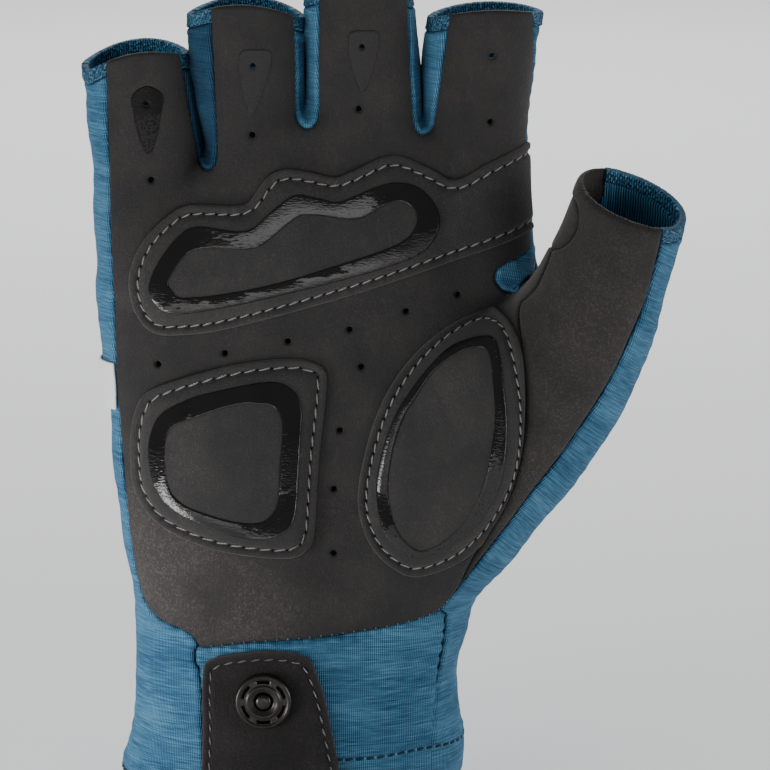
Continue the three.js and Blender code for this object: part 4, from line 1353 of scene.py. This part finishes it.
# One stitch on each edge of a line, laid along it and squeezed flat against what it holds
stitch_nodes = bpy.data.node_groups.new("stitches", "GeometryNodeTree")
for socket, kind in (("Line", "NodeSocketGeometry"), ("Thickness", "NodeSocketFloat"),
                     ("Share", "NodeSocketFloat"), ("Slant", "NodeSocketFloat"),
                     ("Thread", "NodeSocketMaterial")):
    stitch_nodes.interface.new_socket(socket, in_out="INPUT", socket_type=kind)
stitch_nodes.interface.new_socket("Stitches", in_out="OUTPUT", socket_type="NodeSocketGeometry")
given = stitch_nodes.nodes.new("NodeGroupInput").outputs
ends = node(stitch_nodes, "GeometryNodeInputMeshEdgeVertices").outputs
edge = node(stitch_nodes, "ShaderNodeVectorMath", {
    0: ends["Position 2"], 1: ends["Position 1"]}, operation="SUBTRACT").outputs[0]
line = node(stitch_nodes, "GeometryNodeStoreNamedAttribute", {
    "Geometry": given["Line"], "Name": "span", "Value": edge}, data_type="FLOAT_VECTOR", domain="EDGE")
spots = node(stitch_nodes, "GeometryNodeMeshToPoints", {"Mesh": line.outputs[0]}, mode="EDGES")
up, span = (
    node(stitch_nodes, "GeometryNodeInputNamedAttribute", {"Name": name}, data_type="FLOAT_VECTOR").outputs[0]
    for name in ("up", "span"))
turned = node(stitch_nodes, "ShaderNodeVectorRotate", {
    "Vector": span, "Axis": up, "Angle": given["Slant"]}, rotation_type="AXIS_ANGLE").outputs[0]
lengthwise = node(stitch_nodes, "FunctionNodeAlignRotationToVector", {"Vector": turned}, axis="X")
upright = node(stitch_nodes, "FunctionNodeAlignRotationToVector", {
    "Rotation": lengthwise.outputs[0], "Vector": up}, axis="Z", pivot_axis="X")
length = node(stitch_nodes, "ShaderNodeVectorMath", {0: span}, operation="LENGTH").outputs["Value"]
half_length = times(stitch_nodes, times(stitch_nodes, length, given["Share"]), 0.5)
half_thick = times(stitch_nodes, given["Thickness"], 0.5)
size = node(stitch_nodes, "ShaderNodeCombineXYZ", {
    0: half_length, 1: half_thick, 2: times(stitch_nodes, half_thick, 0.8)}).outputs[0]
ball = node(stitch_nodes, "GeometryNodeMeshUVSphere", {"Segments": 8, "Rings": 6, "Radius": 1.0})
on_ball = node(stitch_nodes, "GeometryNodeInputPosition").outputs[0]
twist = node(stitch_nodes, "GeometryNodeStoreNamedAttribute", {
    "Geometry": ball.outputs["Mesh"], "Name": "weave", "Value": on_ball},
    data_type="FLOAT_VECTOR", domain="POINT")
laid = node(stitch_nodes, "GeometryNodeInstanceOnPoints", {
    "Points": spots.outputs[0], "Instance": twist.outputs[0], "Rotation": upright.outputs[0], "Scale": size})
real = node(stitch_nodes, "GeometryNodeRealizeInstances", {0: laid.outputs[0]})
smooth = node(stitch_nodes, "GeometryNodeSetShadeSmooth", {0: real.outputs[0]})
colored = node(stitch_nodes, "GeometryNodeSetMaterial", {0: smooth.outputs[0], "Material": given["Thread"]})
stitch_nodes.links.new(colored.outputs[0], stitch_nodes.nodes.new("NodeGroupOutput").inputs[0])
stitch_inputs = {item.name: item.identifier for item in stitch_nodes.interface.items_tree
                 if item.in_out == "INPUT"}


def sewn(name, lines, thread, thickness=0.4, share=0.86, slant=0.14):
    """A piece made of the stitches along some lines: rows of places and of the direction facing up."""
    places = np.concatenate([line[:, :3] for line in lines]) * 0.001
    ups = np.concatenate([line[:, 3:6] for line in lines])
    edges, start = [], 0
    for line in lines:
        edges += [(start + i, start + i + 1) for i in range(len(line) - 1)]
        start += len(line)
    mesh = bpy.data.meshes.new(name)
    mesh.from_pydata(places.tolist(), edges, [])
    facing = mesh.attributes.new("up", "FLOAT_VECTOR", "POINT")
    facing.data.foreach_set("vector", ups.astype(np.float32).ravel())
    piece = bpy.data.objects.new(name, mesh)
    bpy.context.scene.collection.objects.link(piece)
    layer = piece.modifiers.new("stitches", "NODES")
    layer.node_group = stitch_nodes
    values = {"Thickness": thickness * 0.001, "Share": share, "Slant": slant, "Thread": thread}
    for key, value in values.items():
        layer[stitch_inputs[key]] = value
    shaped = piece.evaluated_get(bpy.context.evaluated_depsgraph_get())
    piece.data = bpy.data.meshes.new_from_object(shaped)
    piece.modifiers.clear()
    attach(piece, "root")
    return piece


def thread_material(name, color, roughness=0.26, specular=0.8):
    """Twisted sewing thread: ridges wind round each stitch, with painted shade in the grooves between them.
    """
    material, tree, surface = shader(name)
    local = node(tree, "ShaderNodeAttribute", attribute_name="weave").outputs["Vector"]
    parts = node(tree, "ShaderNodeSeparateXYZ", {0: local}).outputs
    ridge = math_node(tree, "SINE", plus(tree, times(tree, parts[0], 14), times(tree, parts[1], 3)))
    dark = tuple(0.45 * value for value in color)
    painted_twist_shade = mixed(tree, eased_share(tree, ridge, -1.0, 0.3), (*dark, 1), (*color, 1))
    tree.links.new(painted_twist_shade, surface.inputs["Base Color"])
    roughened(tree, surface, ridge, 0.00006, 0.8)
    surface.inputs["Roughness"].default_value = roughness
    surface.inputs["Specular IOR Level"].default_value = specular
    return material


pad_suede = suede_material("pad suede", (0.0275, 0.0267, 0.0267), (0.09, 0.082, 0.078), (0.06, 0.057, 0.054))
pale_thread = thread_material("pale thread", (0.3, 0.3, 0.3))
stitch_pitches = {"knuckle": 2.7, "heel": 3.1, "thenar": 2.65}
# How far in from the edge of a patch its stitches run
stitch_room = 1.85
# Heights over the skin and over each other: palm leather, a gap, the patch's flat edge, and its body
leather_top = 0.3
clearance = 0.02
flange = 0.95
body_rise, strap_share = 0.45, 0.35
edge_roll = 0.4
groove, groove_reach = 0.5, 0.5
needle_depth, needle_reach = 0.3, 0.35
# How far the cut edge is darkened, and the radius of the painted shade in a needle hole
edge_dark, needle_hole_shade_radius = 0.16, 0.3
thread_over_groove = 0.12


def raised_by(points, heights):
    """Points of the skin moved outwards by their heights."""
    return points[:, :3] + points[:, 6:9] * np.reshape(heights, (-1, 1))


def pad_heights(name, points, depth, needle_room):
    """How far the top of a patch lies over the skin."""
    body = strap_share + (1 - strap_share) * filled_share(name, points[:, 0])
    return (leather_top + flange - rolled(np.maximum(depth, 0), edge_roll)
            - groove * np.exp(-((depth - stitch_room) / groove_reach) ** 2)
            - needle_depth * np.exp(-((needle_room / needle_reach) ** 2))
            + body_rise * body * smooth_step((depth - stitch_room - 0.2) / 1.8) + points[:, 9])


pad_tops = {}
for name, outline in pad_outlines.items():
    shape = smooth_outline(outline)

    def on_pad(x, y, z):
        return inside_outline(shape, x, z)

    points, faces, _ = cut(skin, palm_whole, on_pad)
    points, faces = compact(points, faces)
    lift = blown_up(name, points, faces, on_pad(*points[:, :3].T))
    points = np.column_stack([points, lift])
    needles = spaced(line_along(points, faces, moved_in(on_pad, stitch_room)), stitch_pitches[name])
    points, faces = finer(points, faces, moved_in(on_pad, 1.2), 0.4, 1.6)
    depth = on_pad(*points[:, :3].T)
    tree = search_tree(needles[:, :3])
    needle_room = np.array([tree.find(place)[2] for place in points[:, :3]])
    outer = raised_by(points, pad_heights(name, points, depth, needle_room))
    inner = raised_by(points, leather_top + clearance)
    # An edge value of -0.5 marks the needle holes for painted shade
    edge = np.exp(-np.maximum(depth, 0) / edge_dark) - 0.5 * np.exp(-((needle_room / needle_hole_shade_radius) ** 4))
    weave = np.column_stack([points[:, 0], points[:, 2], edge])
    piece = thickened(name + "_patch", outer, inner, faces, weave)
    finished(piece, pad_suede, name + "_pad")
    threads = raised_by(needles, leather_top + flange - groove + thread_over_groove)
    sewn(name + "_stitches", [np.column_stack([threads, needles[:, 6:9]])], pale_thread)
    pad_tops[name] = (np.column_stack([outer, normals_of(outer, faces)]), faces)

# Glossy bands on the patches
# A raised ring of black silicone is printed on each patch. It is smooth and wet looking,
# with small ripples left by the nap under it.

# The film is black, and where the nap breaks through it is a little paler, which is also painted reflection
film_color = (0.0088, 0.0084, 0.0084, 1)
bare_and_reflection_color = (0.0255, 0.0247, 0.0245, 1)


def small_pits(tree, place, pit_x, pit_z):
    """Relief where the nap pricks the film, to the left of an x and below a z in metres."""
    parts = node(tree, "ShaderNodeSeparateXYZ", {0: place}).outputs
    beside = eased_share(tree, parts[0], pit_x + 0.006, pit_x)
    below = eased_share(tree, parts[2], pit_z + 0.004, pit_z - 0.004)
    pits = noise(tree, place, (1700, 1700, 2000), detail=2, roughness=0.7)
    strength = node(tree, "ShaderNodeMapRange", {
        "Value": parts[2], "From Min": pit_z - 0.013, "From Max": pit_z, "To Min": 1.0, "To Max": 1.9})
    return times(tree, pits, times(tree, times(tree, beside, below), strength.outputs["Result"]))


def leaning(tree, place, normal, leans):
    """A normal that is tipped up or down where the film has run."""
    parts = node(tree, "ShaderNodeSeparateXYZ", {0: place}).outputs
    ragged = times(tree, noise(tree, place, (420, 420, 1900), detail=3), 1.3)
    whole = 0.0
    for x, z, wide, high, lean in leans:
        across = math_node(tree, "DIVIDE", math_node(tree, "SUBTRACT", parts[0], x * 0.001), wide * 0.001)
        up = math_node(tree, "DIVIDE", math_node(tree, "SUBTRACT", parts[2], z * 0.001), high * 0.001)
        flat = node(tree, "ShaderNodeCombineXYZ", {0: across, 1: up}).outputs[0]
        away = node(tree, "ShaderNodeVectorMath", {0: flat}, operation="LENGTH").outputs["Value"]
        whole = plus(tree, whole, times(tree, eased_share(tree, plus(tree, away, ragged), 1.65, 1.5), lean))
    upward = node(tree, "ShaderNodeVectorTransform", {
        "Vector": node(tree, "ShaderNodeCombineXYZ", {2: whole}).outputs[0]},
        convert_from="OBJECT", convert_to="WORLD").outputs[0]
    tipped = node(tree, "ShaderNodeVectorMath", {0: normal, 1: upward}).outputs[0]
    return node(tree, "ShaderNodeVectorMath", {0: tipped}, operation="NORMALIZE").outputs[0]


def bare_and_reflection_share(tree, place, bare_from, bare_to, limit, slope):
    """1 where the nap shows through, also painted reflection: more so from one height to another, in metres,
    past a limit.
    """
    parts = node(tree, "ShaderNodeSeparateXYZ", {0: place}).outputs
    height = math_node(tree, "SUBTRACT", parts[2], times(tree, parts[0], slope))
    level = times(tree, eased_share(tree, height, bare_from, bare_to), 0.3)
    spots = plus(tree, noise(tree, place, (2100, 2100, 2100), detail=2), level)
    return eased_share(tree, spots, limit, limit + 0.07)


def film_material(name, roughness, relief, ior=1.5, bare_and_reflection=None, pitted=None, leans=()):
    """Printed silicone. Bare: two heights in metres, a limit past which the suede shows, and a slope.
    Where the suede shows, the film is worn and also painted reflection.

    Pitted: the x and z in metres of a place where the nap breaks through in small pits.
    Leans: places where the film has run and leans up or down: x, z, half width, half height, lean.
    """
    material, tree, surface = shader(name)
    place = node(tree, "ShaderNodeTexCoord").outputs["Object"]
    lumps = noise(tree, place, (800, 800, 2700), detail=3)
    fine = noise(tree, place, (3300, 3300, 4600), detail=1)
    height = plus(tree, lumps, times(tree, fine, 0.3))
    if pitted:
        height = plus(tree, height, small_pits(tree, place, *pitted))
    normal = node(tree, "ShaderNodeBump", {"Height": height, "Distance": relief, "Strength": 0.8}).outputs[0]
    if leans:
        normal = leaning(tree, place, normal, leans)
    tree.links.new(normal, surface.inputs["Normal"])
    surface.inputs["Base Color"].default_value = film_color
    surface.inputs["Roughness"].default_value = roughness
    surface.inputs["IOR"].default_value = ior
    if bare_and_reflection:
        share = bare_and_reflection_share(tree, place, *bare_and_reflection)
        tree.links.new(mixed(tree, share, film_color, bare_and_reflection_color), surface.inputs["Base Color"])
        rough = node(tree, "ShaderNodeMapRange", {"Value": share, "To Min": roughness, "To Max": 0.7})
        tree.links.new(rough.outputs["Result"], surface.inputs["Roughness"])
    return material


films = {
    "knuckle": film_material("knuckle film", 0.07, 0.00009, leans=[
        (-28, 117, 10.5, 9.5, 0.26), (1, 127, 20, 8, -0.22), (26, 130, 9, 6.5, 0.26),
        (-17, 110.6, 8, 1.9, 0.2), (-6, 112.9, 8, 1.9, 0.2), (4, 115.9, 7, 1.6, 0.2)]),
    "heel": film_material("heel film", 0.07, 0.00009, pitted=(-0.0235, 0.079), leans=[
        (0, 87, 9, 9, 0.26), (0, 75, 5, 9, 0.15), (-2, 61, 10, 8, 0.26), (-15, 91, 13, 10, 0.24),
        (-29, 85, 7, 10, 0.26), (-32, 75, 5, 7, 0.18)]),
    "thenar": film_material("thenar film", 0.07, 0.00009, 1.42, (0.0501, 0.0471, 0.66, 0.615), leans=[
        (43, 86, 5, 12, 0.26), (18, 62.5, 6, 5.5, 0.26), (20, 78, 7, 13, -0.1)]),
}
film_rise = 0.27
film_crown = 0.12


def printed(name, top, faces, rule, rise, roll, material, cad_node):
    """A raised print on a surface: what lies inside the rule, lifted off it and slightly domed."""
    points, faces = finer(top, faces, rule, 0.3, 0.6, on_skin=False)
    points, faces, _ = cut(points, faces, rule)
    points, faces = compact(points, faces)
    room = np.maximum(rule(*points[:, :3].T), 0)
    half = room.max()
    domed = film_crown * (1 - np.clip(1 - room / half, 0, 1) ** 2) * min(rise / film_rise, 1) ** 2
    outer = points[:, :3] + points[:, 3:6] * (rise + domed - rolled(room, roll))[:, None]
    inner = points[:, :3] + points[:, 3:6] * clearance
    weave = np.column_stack([points[:, 0], points[:, 2], np.zeros(len(points))])
    return finished(thickened(name, outer, inner, faces, weave), material, cad_node)


band_outlines = {
    "knuckle": (
        [(-20.7, 124.8), (-10.5, 124.1), (-5.3, 128), (-0.1, 131.6), (4.8, 131), (9.5, 130.3),
         (15.9, 132.9), (21, 134.2), (26.2, 132.9), (29.9, 128.6), (30.2, 124.1), (26.9, 119.5),
         (19.1, 116.3), (-0.2, 111.1), (-16.4, 107.4), (-26.1, 106.1), (-30, 108.1), (-31.2, 111.7),
         (-29.2, 116.9), (-25.2, 122.2)],
        [(-21.4, 119.9), (-10.5, 120.3), (-6.6, 121.5), (-0.1, 126.7), (3.7, 127.5), (12.7, 126.6),
         (17.9, 129), (21.7, 130.3), (24.6, 129), (25.6, 125.7), (22.4, 121.8), (12.7, 118.2),
         (-6.7, 112.4), (-22.9, 109.7), (-26.1, 111.1), (-26.6, 113.7)]),
    "heel": (
        [(-5.8, 91.9), (-18.9, 89.3), (-25.4, 86.7), (-29.7, 83.4), (-31.8, 77), (-31.3, 70), (-29, 65.6),
         (-25.7, 62.9), (-19.2, 60.2), (-12.6, 58.1), (-6.7, 57.6), (-2.4, 59.2), (-0.3, 63), (0.4, 71),
         (1, 81), (1.2, 86), (-0.6, 90)],
        [(-7.5, 87.2), (-14, 86.7), (-23.8, 83), (-27.1, 80.7), (-28.2, 75.4), (-27.4, 68.6), (-24.7, 65.2),
         (-19.2, 63.1), (-12.6, 61.5), (-7.7, 61.5), (-5, 63.6), (-3.8, 67), (-3.5, 74.3), (-2.9, 82),
         (-4.4, 86.3)]),
    "thenar": (
        [(40.8, 102.5), (33.6, 100.1), (28.8, 95.9), (24.4, 90.2), (21.1, 84.8), (18.7, 78.2), (17.2, 71),
         (17.3, 65), (18.7, 59.3), (22, 55.1), (26.5, 53.7), (32.1, 56), (37, 60.2), (41.5, 66.9), (43.9, 74),
         (44.6, 83.5), (43.9, 91.8), (42.9, 99.7)],
        [(39.3, 100.1), (35.2, 99), (29.6, 94.7), (25.6, 88.9), (22.7, 84), (20.7, 77.8), (19.6, 70.6),
         (19.9, 65.2), (21.6, 59.7), (24.4, 56.4), (27.2, 55.5), (31.7, 57.9), (36.2, 62.7), (39.8, 70.6),
         (41.4, 79.4), (42, 85.6), (41.7, 91.8), (40.9, 98.4)]),
}
for name, (outer_edge, inner_edge) in band_outlines.items():
    outside, inside = smooth_outline(outer_edge), smooth_outline(inner_edge)
    printed(name + "_gloss", *pad_tops[name],
            lambda x, y, z: np.minimum(inside_outline(outside, x, z), -inside_outline(inside, x, z)),
            film_rise, 0.2, films[name], name + "_band")

# Teardrop grip prints
# Three fingers carry a thin drop of the same silicone, printed on the bare leather. It is wide near
# the tip, and an air hole goes through it.

prints = {
    "little": [(-30.9, 154.4), (-34.1, 152.3), (-33.9, 148.5), (-32.8, 143), (-30.9, 139.6), (-29.2, 143),
               (-28.1, 148.5), (-27.6, 152.3)],
    "ring": [(-8.2, 162.1), (-11.5, 161), (-10.9, 152.8), (-9, 148.4), (-6.7, 152.6), (-4.8, 161)],
    "middle": [(14.5, 166.1), (11.4, 165.4), (11.8, 159.3), (14.2, 153), (16.4, 157.5), (17.6, 165.2)],
}
# The nap shows through the lower half of the little finger's print and the upper parts of the others,
# which is also painted reflection
print_films = {
    "little": film_material("broken film with painted reflection", 0.3, 0.0002, 1.2, (0.1495, 0.1475, 0.76, 0)),
    "ring": film_material("ring film", 0.4, 0.00014, 1.38, (0.148, 0.155, 0.65, 0)),
    "middle": film_material("middle film", 0.4, 0.00014, 1.38, (0.1525, 0.158, 0.63, 0)),
}
print_rise, print_roll = 0.14, 0.12
print_reach, prints_above = 8, 130
palm_surface = np.column_stack([palm_top, normals_of(palm_top, palm_top_faces)])
face_x, _, face_z = palm_top[palm_top_faces[:, 0]].T
for name, outline in prints.items():
    drop = smooth_outline(outline)
    near = (np.abs(face_x - drop[:, 0].mean()) < print_reach) & (face_z > prints_above)
    printed("grip_" + name, palm_surface, palm_top_faces[near], lambda x, y, z: inside_outline(drop, x, z),
            print_rise, print_roll, print_films[name], "grip_print_" + name)

# Pull tab
# Two layers of suede with a sewn edge carry the snap. They are fixed over the front of the cuff and
# hang past the hem, and they are worn pale at the lower left.

tab_outline = smooth_outline([
    (-20.3, -1.6), (-16.4, -6.5), (7.2, -6.5), (10.4, -2), (8.9, 6.4), (6, 21.5), (4.4, 26.6), (2.9, 30.4),
    (-0.4, 32.1), (-7, 32.6), (-14, 31.7), (-18.3, 30.4), (-20, 27.6), (-20.2, 14)])


def on_tab(x, y, z):
    return np.minimum(inside_outline(tab_outline, x, z), palm_back - y)


tab_rise, tab_foot = 2.2, 0.5
tab_roll = 0.45
tab_stitch_room, tab_stitch_pitch = 1.7, 2.9
tab_groove, tab_groove_reach = 0.3, 0.4
tab_thread_sunk = 0.14
tab_edge_dark = 0.3
points, faces = finer(skin, skin_faces, moved_in(on_tab, 0.8), 0.4, 1.4)
points, faces, _ = cut(points, faces, on_tab)
points, faces = compact(points, faces)
depth = np.maximum(on_tab(*points[:, :3].T), 0)
needles = spaced(line_along(points, faces, moved_in(on_tab, tab_stitch_room)), tab_stitch_pitch)
sunk = tab_groove * np.exp(-((depth - tab_stitch_room) / tab_groove_reach) ** 2)
height = tab_rise - rolled(depth, tab_roll) - sunk
height = height + 0.08 * ripples(points[:, 0], points[:, 2], 14, 12, 51)
outer = raised_by(points, height)
inner = raised_by(points, tab_foot)
weave = np.column_stack([points[:, 0], points[:, 2], np.exp(-depth / tab_edge_dark)])
tab_suede = suede_material("tab suede", (0.0108, 0.0094, 0.0104), (0.052, 0.046, 0.049), (0.06, 0.052, 0.052),
                           worn=0.2, worn_and_lit_place=(0.02, -0.012), relief=0.0003)
finished(thickened("tab", outer, inner, faces, weave), tab_suede, "pull_tab")
grey_thread = thread_material("grey thread", (0.15, 0.145, 0.15))
threads = raised_by(needles, tab_rise - tab_thread_sunk)
sewn("tab_stitches", [np.column_stack([threads, needles[:, 6:9]])], grey_thread, share=0.72)

# Blue stitches
# The hem is held by dark dashes with a pale loop between them, and the wrist edge of the palm by
# small pale loops. They are laid on the seams that were cut above.

dark_blue = thread_material("dark blue thread", (0.008, 0.036, 0.07), 0.6, 0.2)
pale_blue = thread_material("pale blue thread", (0.16, 0.4, 0.52), 0.5, 0.4)


def short_stitches(line, length):
    """Single short stitches that stand across a line at its points."""
    across = np.cross(line[:, 3:6], np.gradient(line[:, :3], axis=0))
    across *= length / 2 / np.linalg.norm(across, axis=1, keepdims=True)
    step = np.column_stack([across, 0 * across])
    return [np.array([place - move, place + move]) for place, move in zip(line, step)]


hem_pitch, loop_pitch = 2.35, 2.4
hem_loop_rise, hem_loop_long = 0.12, 0.75
wrist_loop_rise, wrist_loop_long = 0.25, 0.4
# The loops at the wrist edge are only on the front of the cuff: to the right of this x
wrist_left = -19
hem_faces = np.concatenate([hem_front, hem_back])
hem_line = line_along(skin, hem_faces, lambda x, y, z: hem_stitch_drop - on_hem(x, y, z))
hem_points = spaced(hem_line, hem_pitch)
dashes = np.column_stack([hem_points[:, :3], hem_points[:, 6:9]])
sewn("hem_stitches", [dashes], dark_blue, thickness=0.75, share=0.8, slant=0.12)
loops = dashes[:-1] + hem_loop_rise * np.column_stack([dashes[:-1, 3:6], 0 * dashes[:-1, 3:6]])
sewn("hem_loops", short_stitches(loops, hem_loop_long), pale_blue, thickness=0.42, share=1.0)
wrist_points = spaced(line_along(skin, palm_whole, moved_in(on_palm, 0.2)), loop_pitch)
wrist_points = wrist_points[(wrist_points[:, 2] < wrist_top) & (wrist_points[:, 0] > wrist_left)]
loops = np.column_stack([raised_by(wrist_points, wrist_loop_rise), wrist_points[:, 6:9]])
sewn("wrist_loops", short_stitches(loops, wrist_loop_long), pale_blue, thickness=0.28, share=1.0)

# Snap
# A black metal press stud is fixed in the tab. It has a ring with six slots, and a domed stud in the
# middle. Both are turned round the snap's axis from a profile of radius and height.

snap_x, snap_z, snap_back = -7.3, 22.1, -22.0
# How far the snap is sunk into the tab
snap_foot = 0.55
slot_count, slot_middle, slot_long, slot_wide, slot_depth = 6, 4.55, 3.0, 0.66, 0.75


def turned_profile(name, profile, sides, sunk=None):
    """A closed profile of radius and height turned round the snap's axis, with places sunk into it."""
    radius, rise = np.array(profile).T
    angle = 2 * math.pi * np.arange(sides)[:, None] / sides
    r = np.broadcast_to(radius, (sides, len(radius)))
    depth = 0 * r if sunk is None else sunk(r, angle, rise)
    h = rise - depth
    places = np.stack([snap_x + r * np.cos(angle), snap_back - h, snap_z + r * np.sin(angle)], -1)
    places = places.reshape(-1, 3)
    a = np.arange(len(places)).reshape(sides, len(radius))
    a[:, radius == 0] = a[0, radius == 0]
    b, d = np.roll(a, -1, axis=1), np.roll(a, -1, axis=0)
    c = np.roll(b, -1, axis=0)
    faces = np.concatenate([np.stack([a, b, c], -1).reshape(-1, 3), np.stack([a, c, d], -1).reshape(-1, 3)])
    whole = (faces[:, 0] != faces[:, 1]) & (faces[:, 1] != faces[:, 2]) & (faces[:, 2] != faces[:, 0])
    # Each place keeps its sunk depth as its last weave coordinate, for the painted shade in the slots
    marked = np.column_stack([places, np.zeros((len(places), 2)), depth.ravel()])
    marked, faces = compact(marked, faces[whole])
    return made_mesh(name, marked[:, :3], faces, marked[:, 3:])


def slots(r, angle, rise):
    turn = 2 * math.pi / slot_count
    near = angle % turn - turn / 2
    long = slot_middle * np.abs(near)
    wide = np.abs(r - slot_middle)
    share = smooth_step((slot_long / 2 - long) / 0.15 + 0.5)
    share = share * smooth_step((slot_wide / 2 - wide) / 0.12 + 0.5)
    return np.where(rise > 0.6, share * slot_depth, 0)


# The ring's inner bead, the flat with the slots, which has close rows for their edges, and its outer bead
ring_profile = [
    (1.98, -snap_foot), (1.98, 0.45), (2.1, 0.62), (2.4, 0.75), (2.7, 0.85), (2.95, 1.0), (3.2, 1.1),
    (3.45, 1.12), (3.65, 1.02), (3.75, 0.86), (3.85, 0.8), (4.05, 0.8),
    *((radius, 0.8) for radius in np.arange(4.11, 5.05, 0.06)),
    (5.15, 0.83), (5.3, 0.95), (5.5, 1.03), (5.7, 1.02), (5.9, 0.9), (6.03, 0.72), (6.1, 0.5),
    (6.1, -snap_foot)]
dome_profile = [
    (0.0, -snap_foot), (0.0, 1.3), (0.4, 1.29), (0.8, 1.26), (1.15, 1.2), (1.45, 1.08), (1.62, 0.9),
    (1.7, 0.65), (1.73, 0.3), (1.85, 0.2), (1.85, -snap_foot)]
metal, tree, surface = shader("black metal")
place = node(tree, "ShaderNodeTexCoord").outputs["Object"]
rubbed = noise(tree, place, (1800, 1800, 1800), detail=3)
color = mixed(tree, eased_share(tree, rubbed, 0.45, 0.75), (0.05, 0.047, 0.043, 1), (0.075, 0.07, 0.063, 1))
weave = node(tree, "ShaderNodeAttribute", attribute_name="weave").outputs["Vector"]
# The slots are painted almost black, as painted shade
painted_slot_shade = eased_share(tree, node(tree, "ShaderNodeSeparateXYZ", {0: weave}).outputs[2], 0.1, 0.5)
tree.links.new(mixed(tree, painted_slot_shade, color, (0.003, 0.003, 0.003, 1)), surface.inputs["Base Color"])
surface.inputs["Roughness"].default_value = 0.3
surface.inputs["Metallic"].default_value = 0.9
finished(turned_profile("snap_plate", ring_profile, 144, slots), metal, "snap_ring")
finished(turned_profile("snap_stud", dome_profile, 48), metal, "snap_centre")

# White patch
# A plain woven tape is folded into the seam on the edge of the hand. It has no mark on it, and only
# its weave shows.

label_left, label_front, label_back, label_low, label_high = -38.6, -9.0, 5.0, 83.7, 94.0
label_rise, label_foot, label_roll = 0.95, 0.45, 0.25
warp_pitch, weft_pitch = 0.3, 0.34


def on_label(x, y, z):
    return np.minimum.reduce([label_left - x, y - label_front, label_back - y, z - label_low, label_high - z])


points, faces = finer(skin, skin_faces, on_label, 0.4, 1.0)
points, faces, _ = cut(points, faces, on_label)
points, faces = compact(points, faces)
room, _ = edge_room(points, faces)
white, tree, surface = shader("white weave")
weave = node(tree, "ShaderNodeAttribute", attribute_name="weave").outputs["Vector"]
parts = node(tree, "ShaderNodeSeparateXYZ", {0: weave}).outputs
warp = math_node(tree, "SINE", times(tree, parts[0], 2 * math.pi / warp_pitch))
weft = math_node(tree, "SINE", times(tree, parts[1], 2 * math.pi / weft_pitch))
threads = times(tree, warp, weft)
# The tape is darker where the threads dip under each other, as painted shade
color = mixed(tree, eased_share(tree, threads, -1, 0.4), (0.75, 0.75, 0.75, 1), (0.95, 0.95, 0.95, 1))
tree.links.new(color, surface.inputs["Base Color"])
roughened(tree, surface, threads, 0.00008, 0.7)
surface.inputs["Roughness"].default_value = 0.75
outer = raised_by(points, label_rise - rolled(room, label_roll))
inner = raised_by(points, label_foot)
weave = np.column_stack([points[:, 1], points[:, 2], np.zeros(len(points))])
label = thickened("white_label", outer, inner, faces, weave)
finished(label, white, "side_patch")

# Floor, lamps and camera
# The glove stands on a plain pale floor between soft lamps, with the camera in front of the palm and
# a little above it.

floor_level = -0.0068
bpy.ops.mesh.primitive_plane_add(size=8, location=(0, 0, floor_level))
floor = bpy.context.object
floor.name = "floor"
pale, tree, surface = shader("pale floor")
surface.inputs["Base Color"].default_value = (0.84, 0.84, 0.84, 1)
surface.inputs["Roughness"].default_value = 0.9
surface.inputs["Specular IOR Level"].default_value = 0.1
floor.data.materials.append(pale)

# Lamps: place, width, height, power, and the place that each one faces
lamps = {
    "left": ((-0.84, -0.4, 0.25), 1.3, 0.6, 6.0, (0, 0, 0.06)),
    "right": ((0.9, -0.24, 0.12), 0.56, 0.56, 5.2, (0.03, 0, 0.07)),
    "kick": ((-0.1, -0.073, 0.022), 0.034, 0.036, 0.072, (-0.028, -0.018, 0.066)),
    "behind": ((0, 1.3, 1.5), 1.8, 1.8, 48, (0, 1.3, 0)),
    "table": ((-0.05, -0.58, -0.005), 0.34, 0.7, 1.45, (-0.05, -0.581, 1)),
}
for name, (place, wide, high, power, faced) in lamps.items():
    light = bpy.data.lights.new(name, "AREA")
    light.shape = "RECTANGLE"
    light.size, light.size_y, light.energy = wide, high, power
    lamp = bpy.data.objects.new(name, light)
    bpy.context.scene.collection.objects.link(lamp)
    lamp.location = place
    lamp.rotation_euler = (Vector(faced) - Vector(place)).to_track_quat("-Z", "Y").to_euler()
    lamp.visible_camera = False
    # The films mirror the floor and the small lamp beside the glove, but not the large lamp
    lamp.visible_glossy = name != "left"
world = bpy.data.worlds.new("studio")
bpy.context.scene.world = world
world.use_nodes = True
world.node_tree.nodes["Background"].inputs["Color"].default_value = (0.9, 0.95, 1, 1)
world.node_tree.nodes["Background"].inputs["Strength"].default_value = 0.16

view_target = Vector((0.01892, -0.01, 0.0893))
view_distance = 0.7
view_height = math.radians(12)
camera_data = bpy.data.cameras.new("camera")
camera_data.lens = 152.2
camera = bpy.data.objects.new("camera", camera_data)
bpy.context.scene.collection.objects.link(camera)
camera.location = view_target + view_distance * Vector((0, -math.cos(view_height), math.sin(view_height)))
camera.rotation_euler = (math.pi / 2 - view_height, 0, 0)
bpy.context.scene.camera = camera
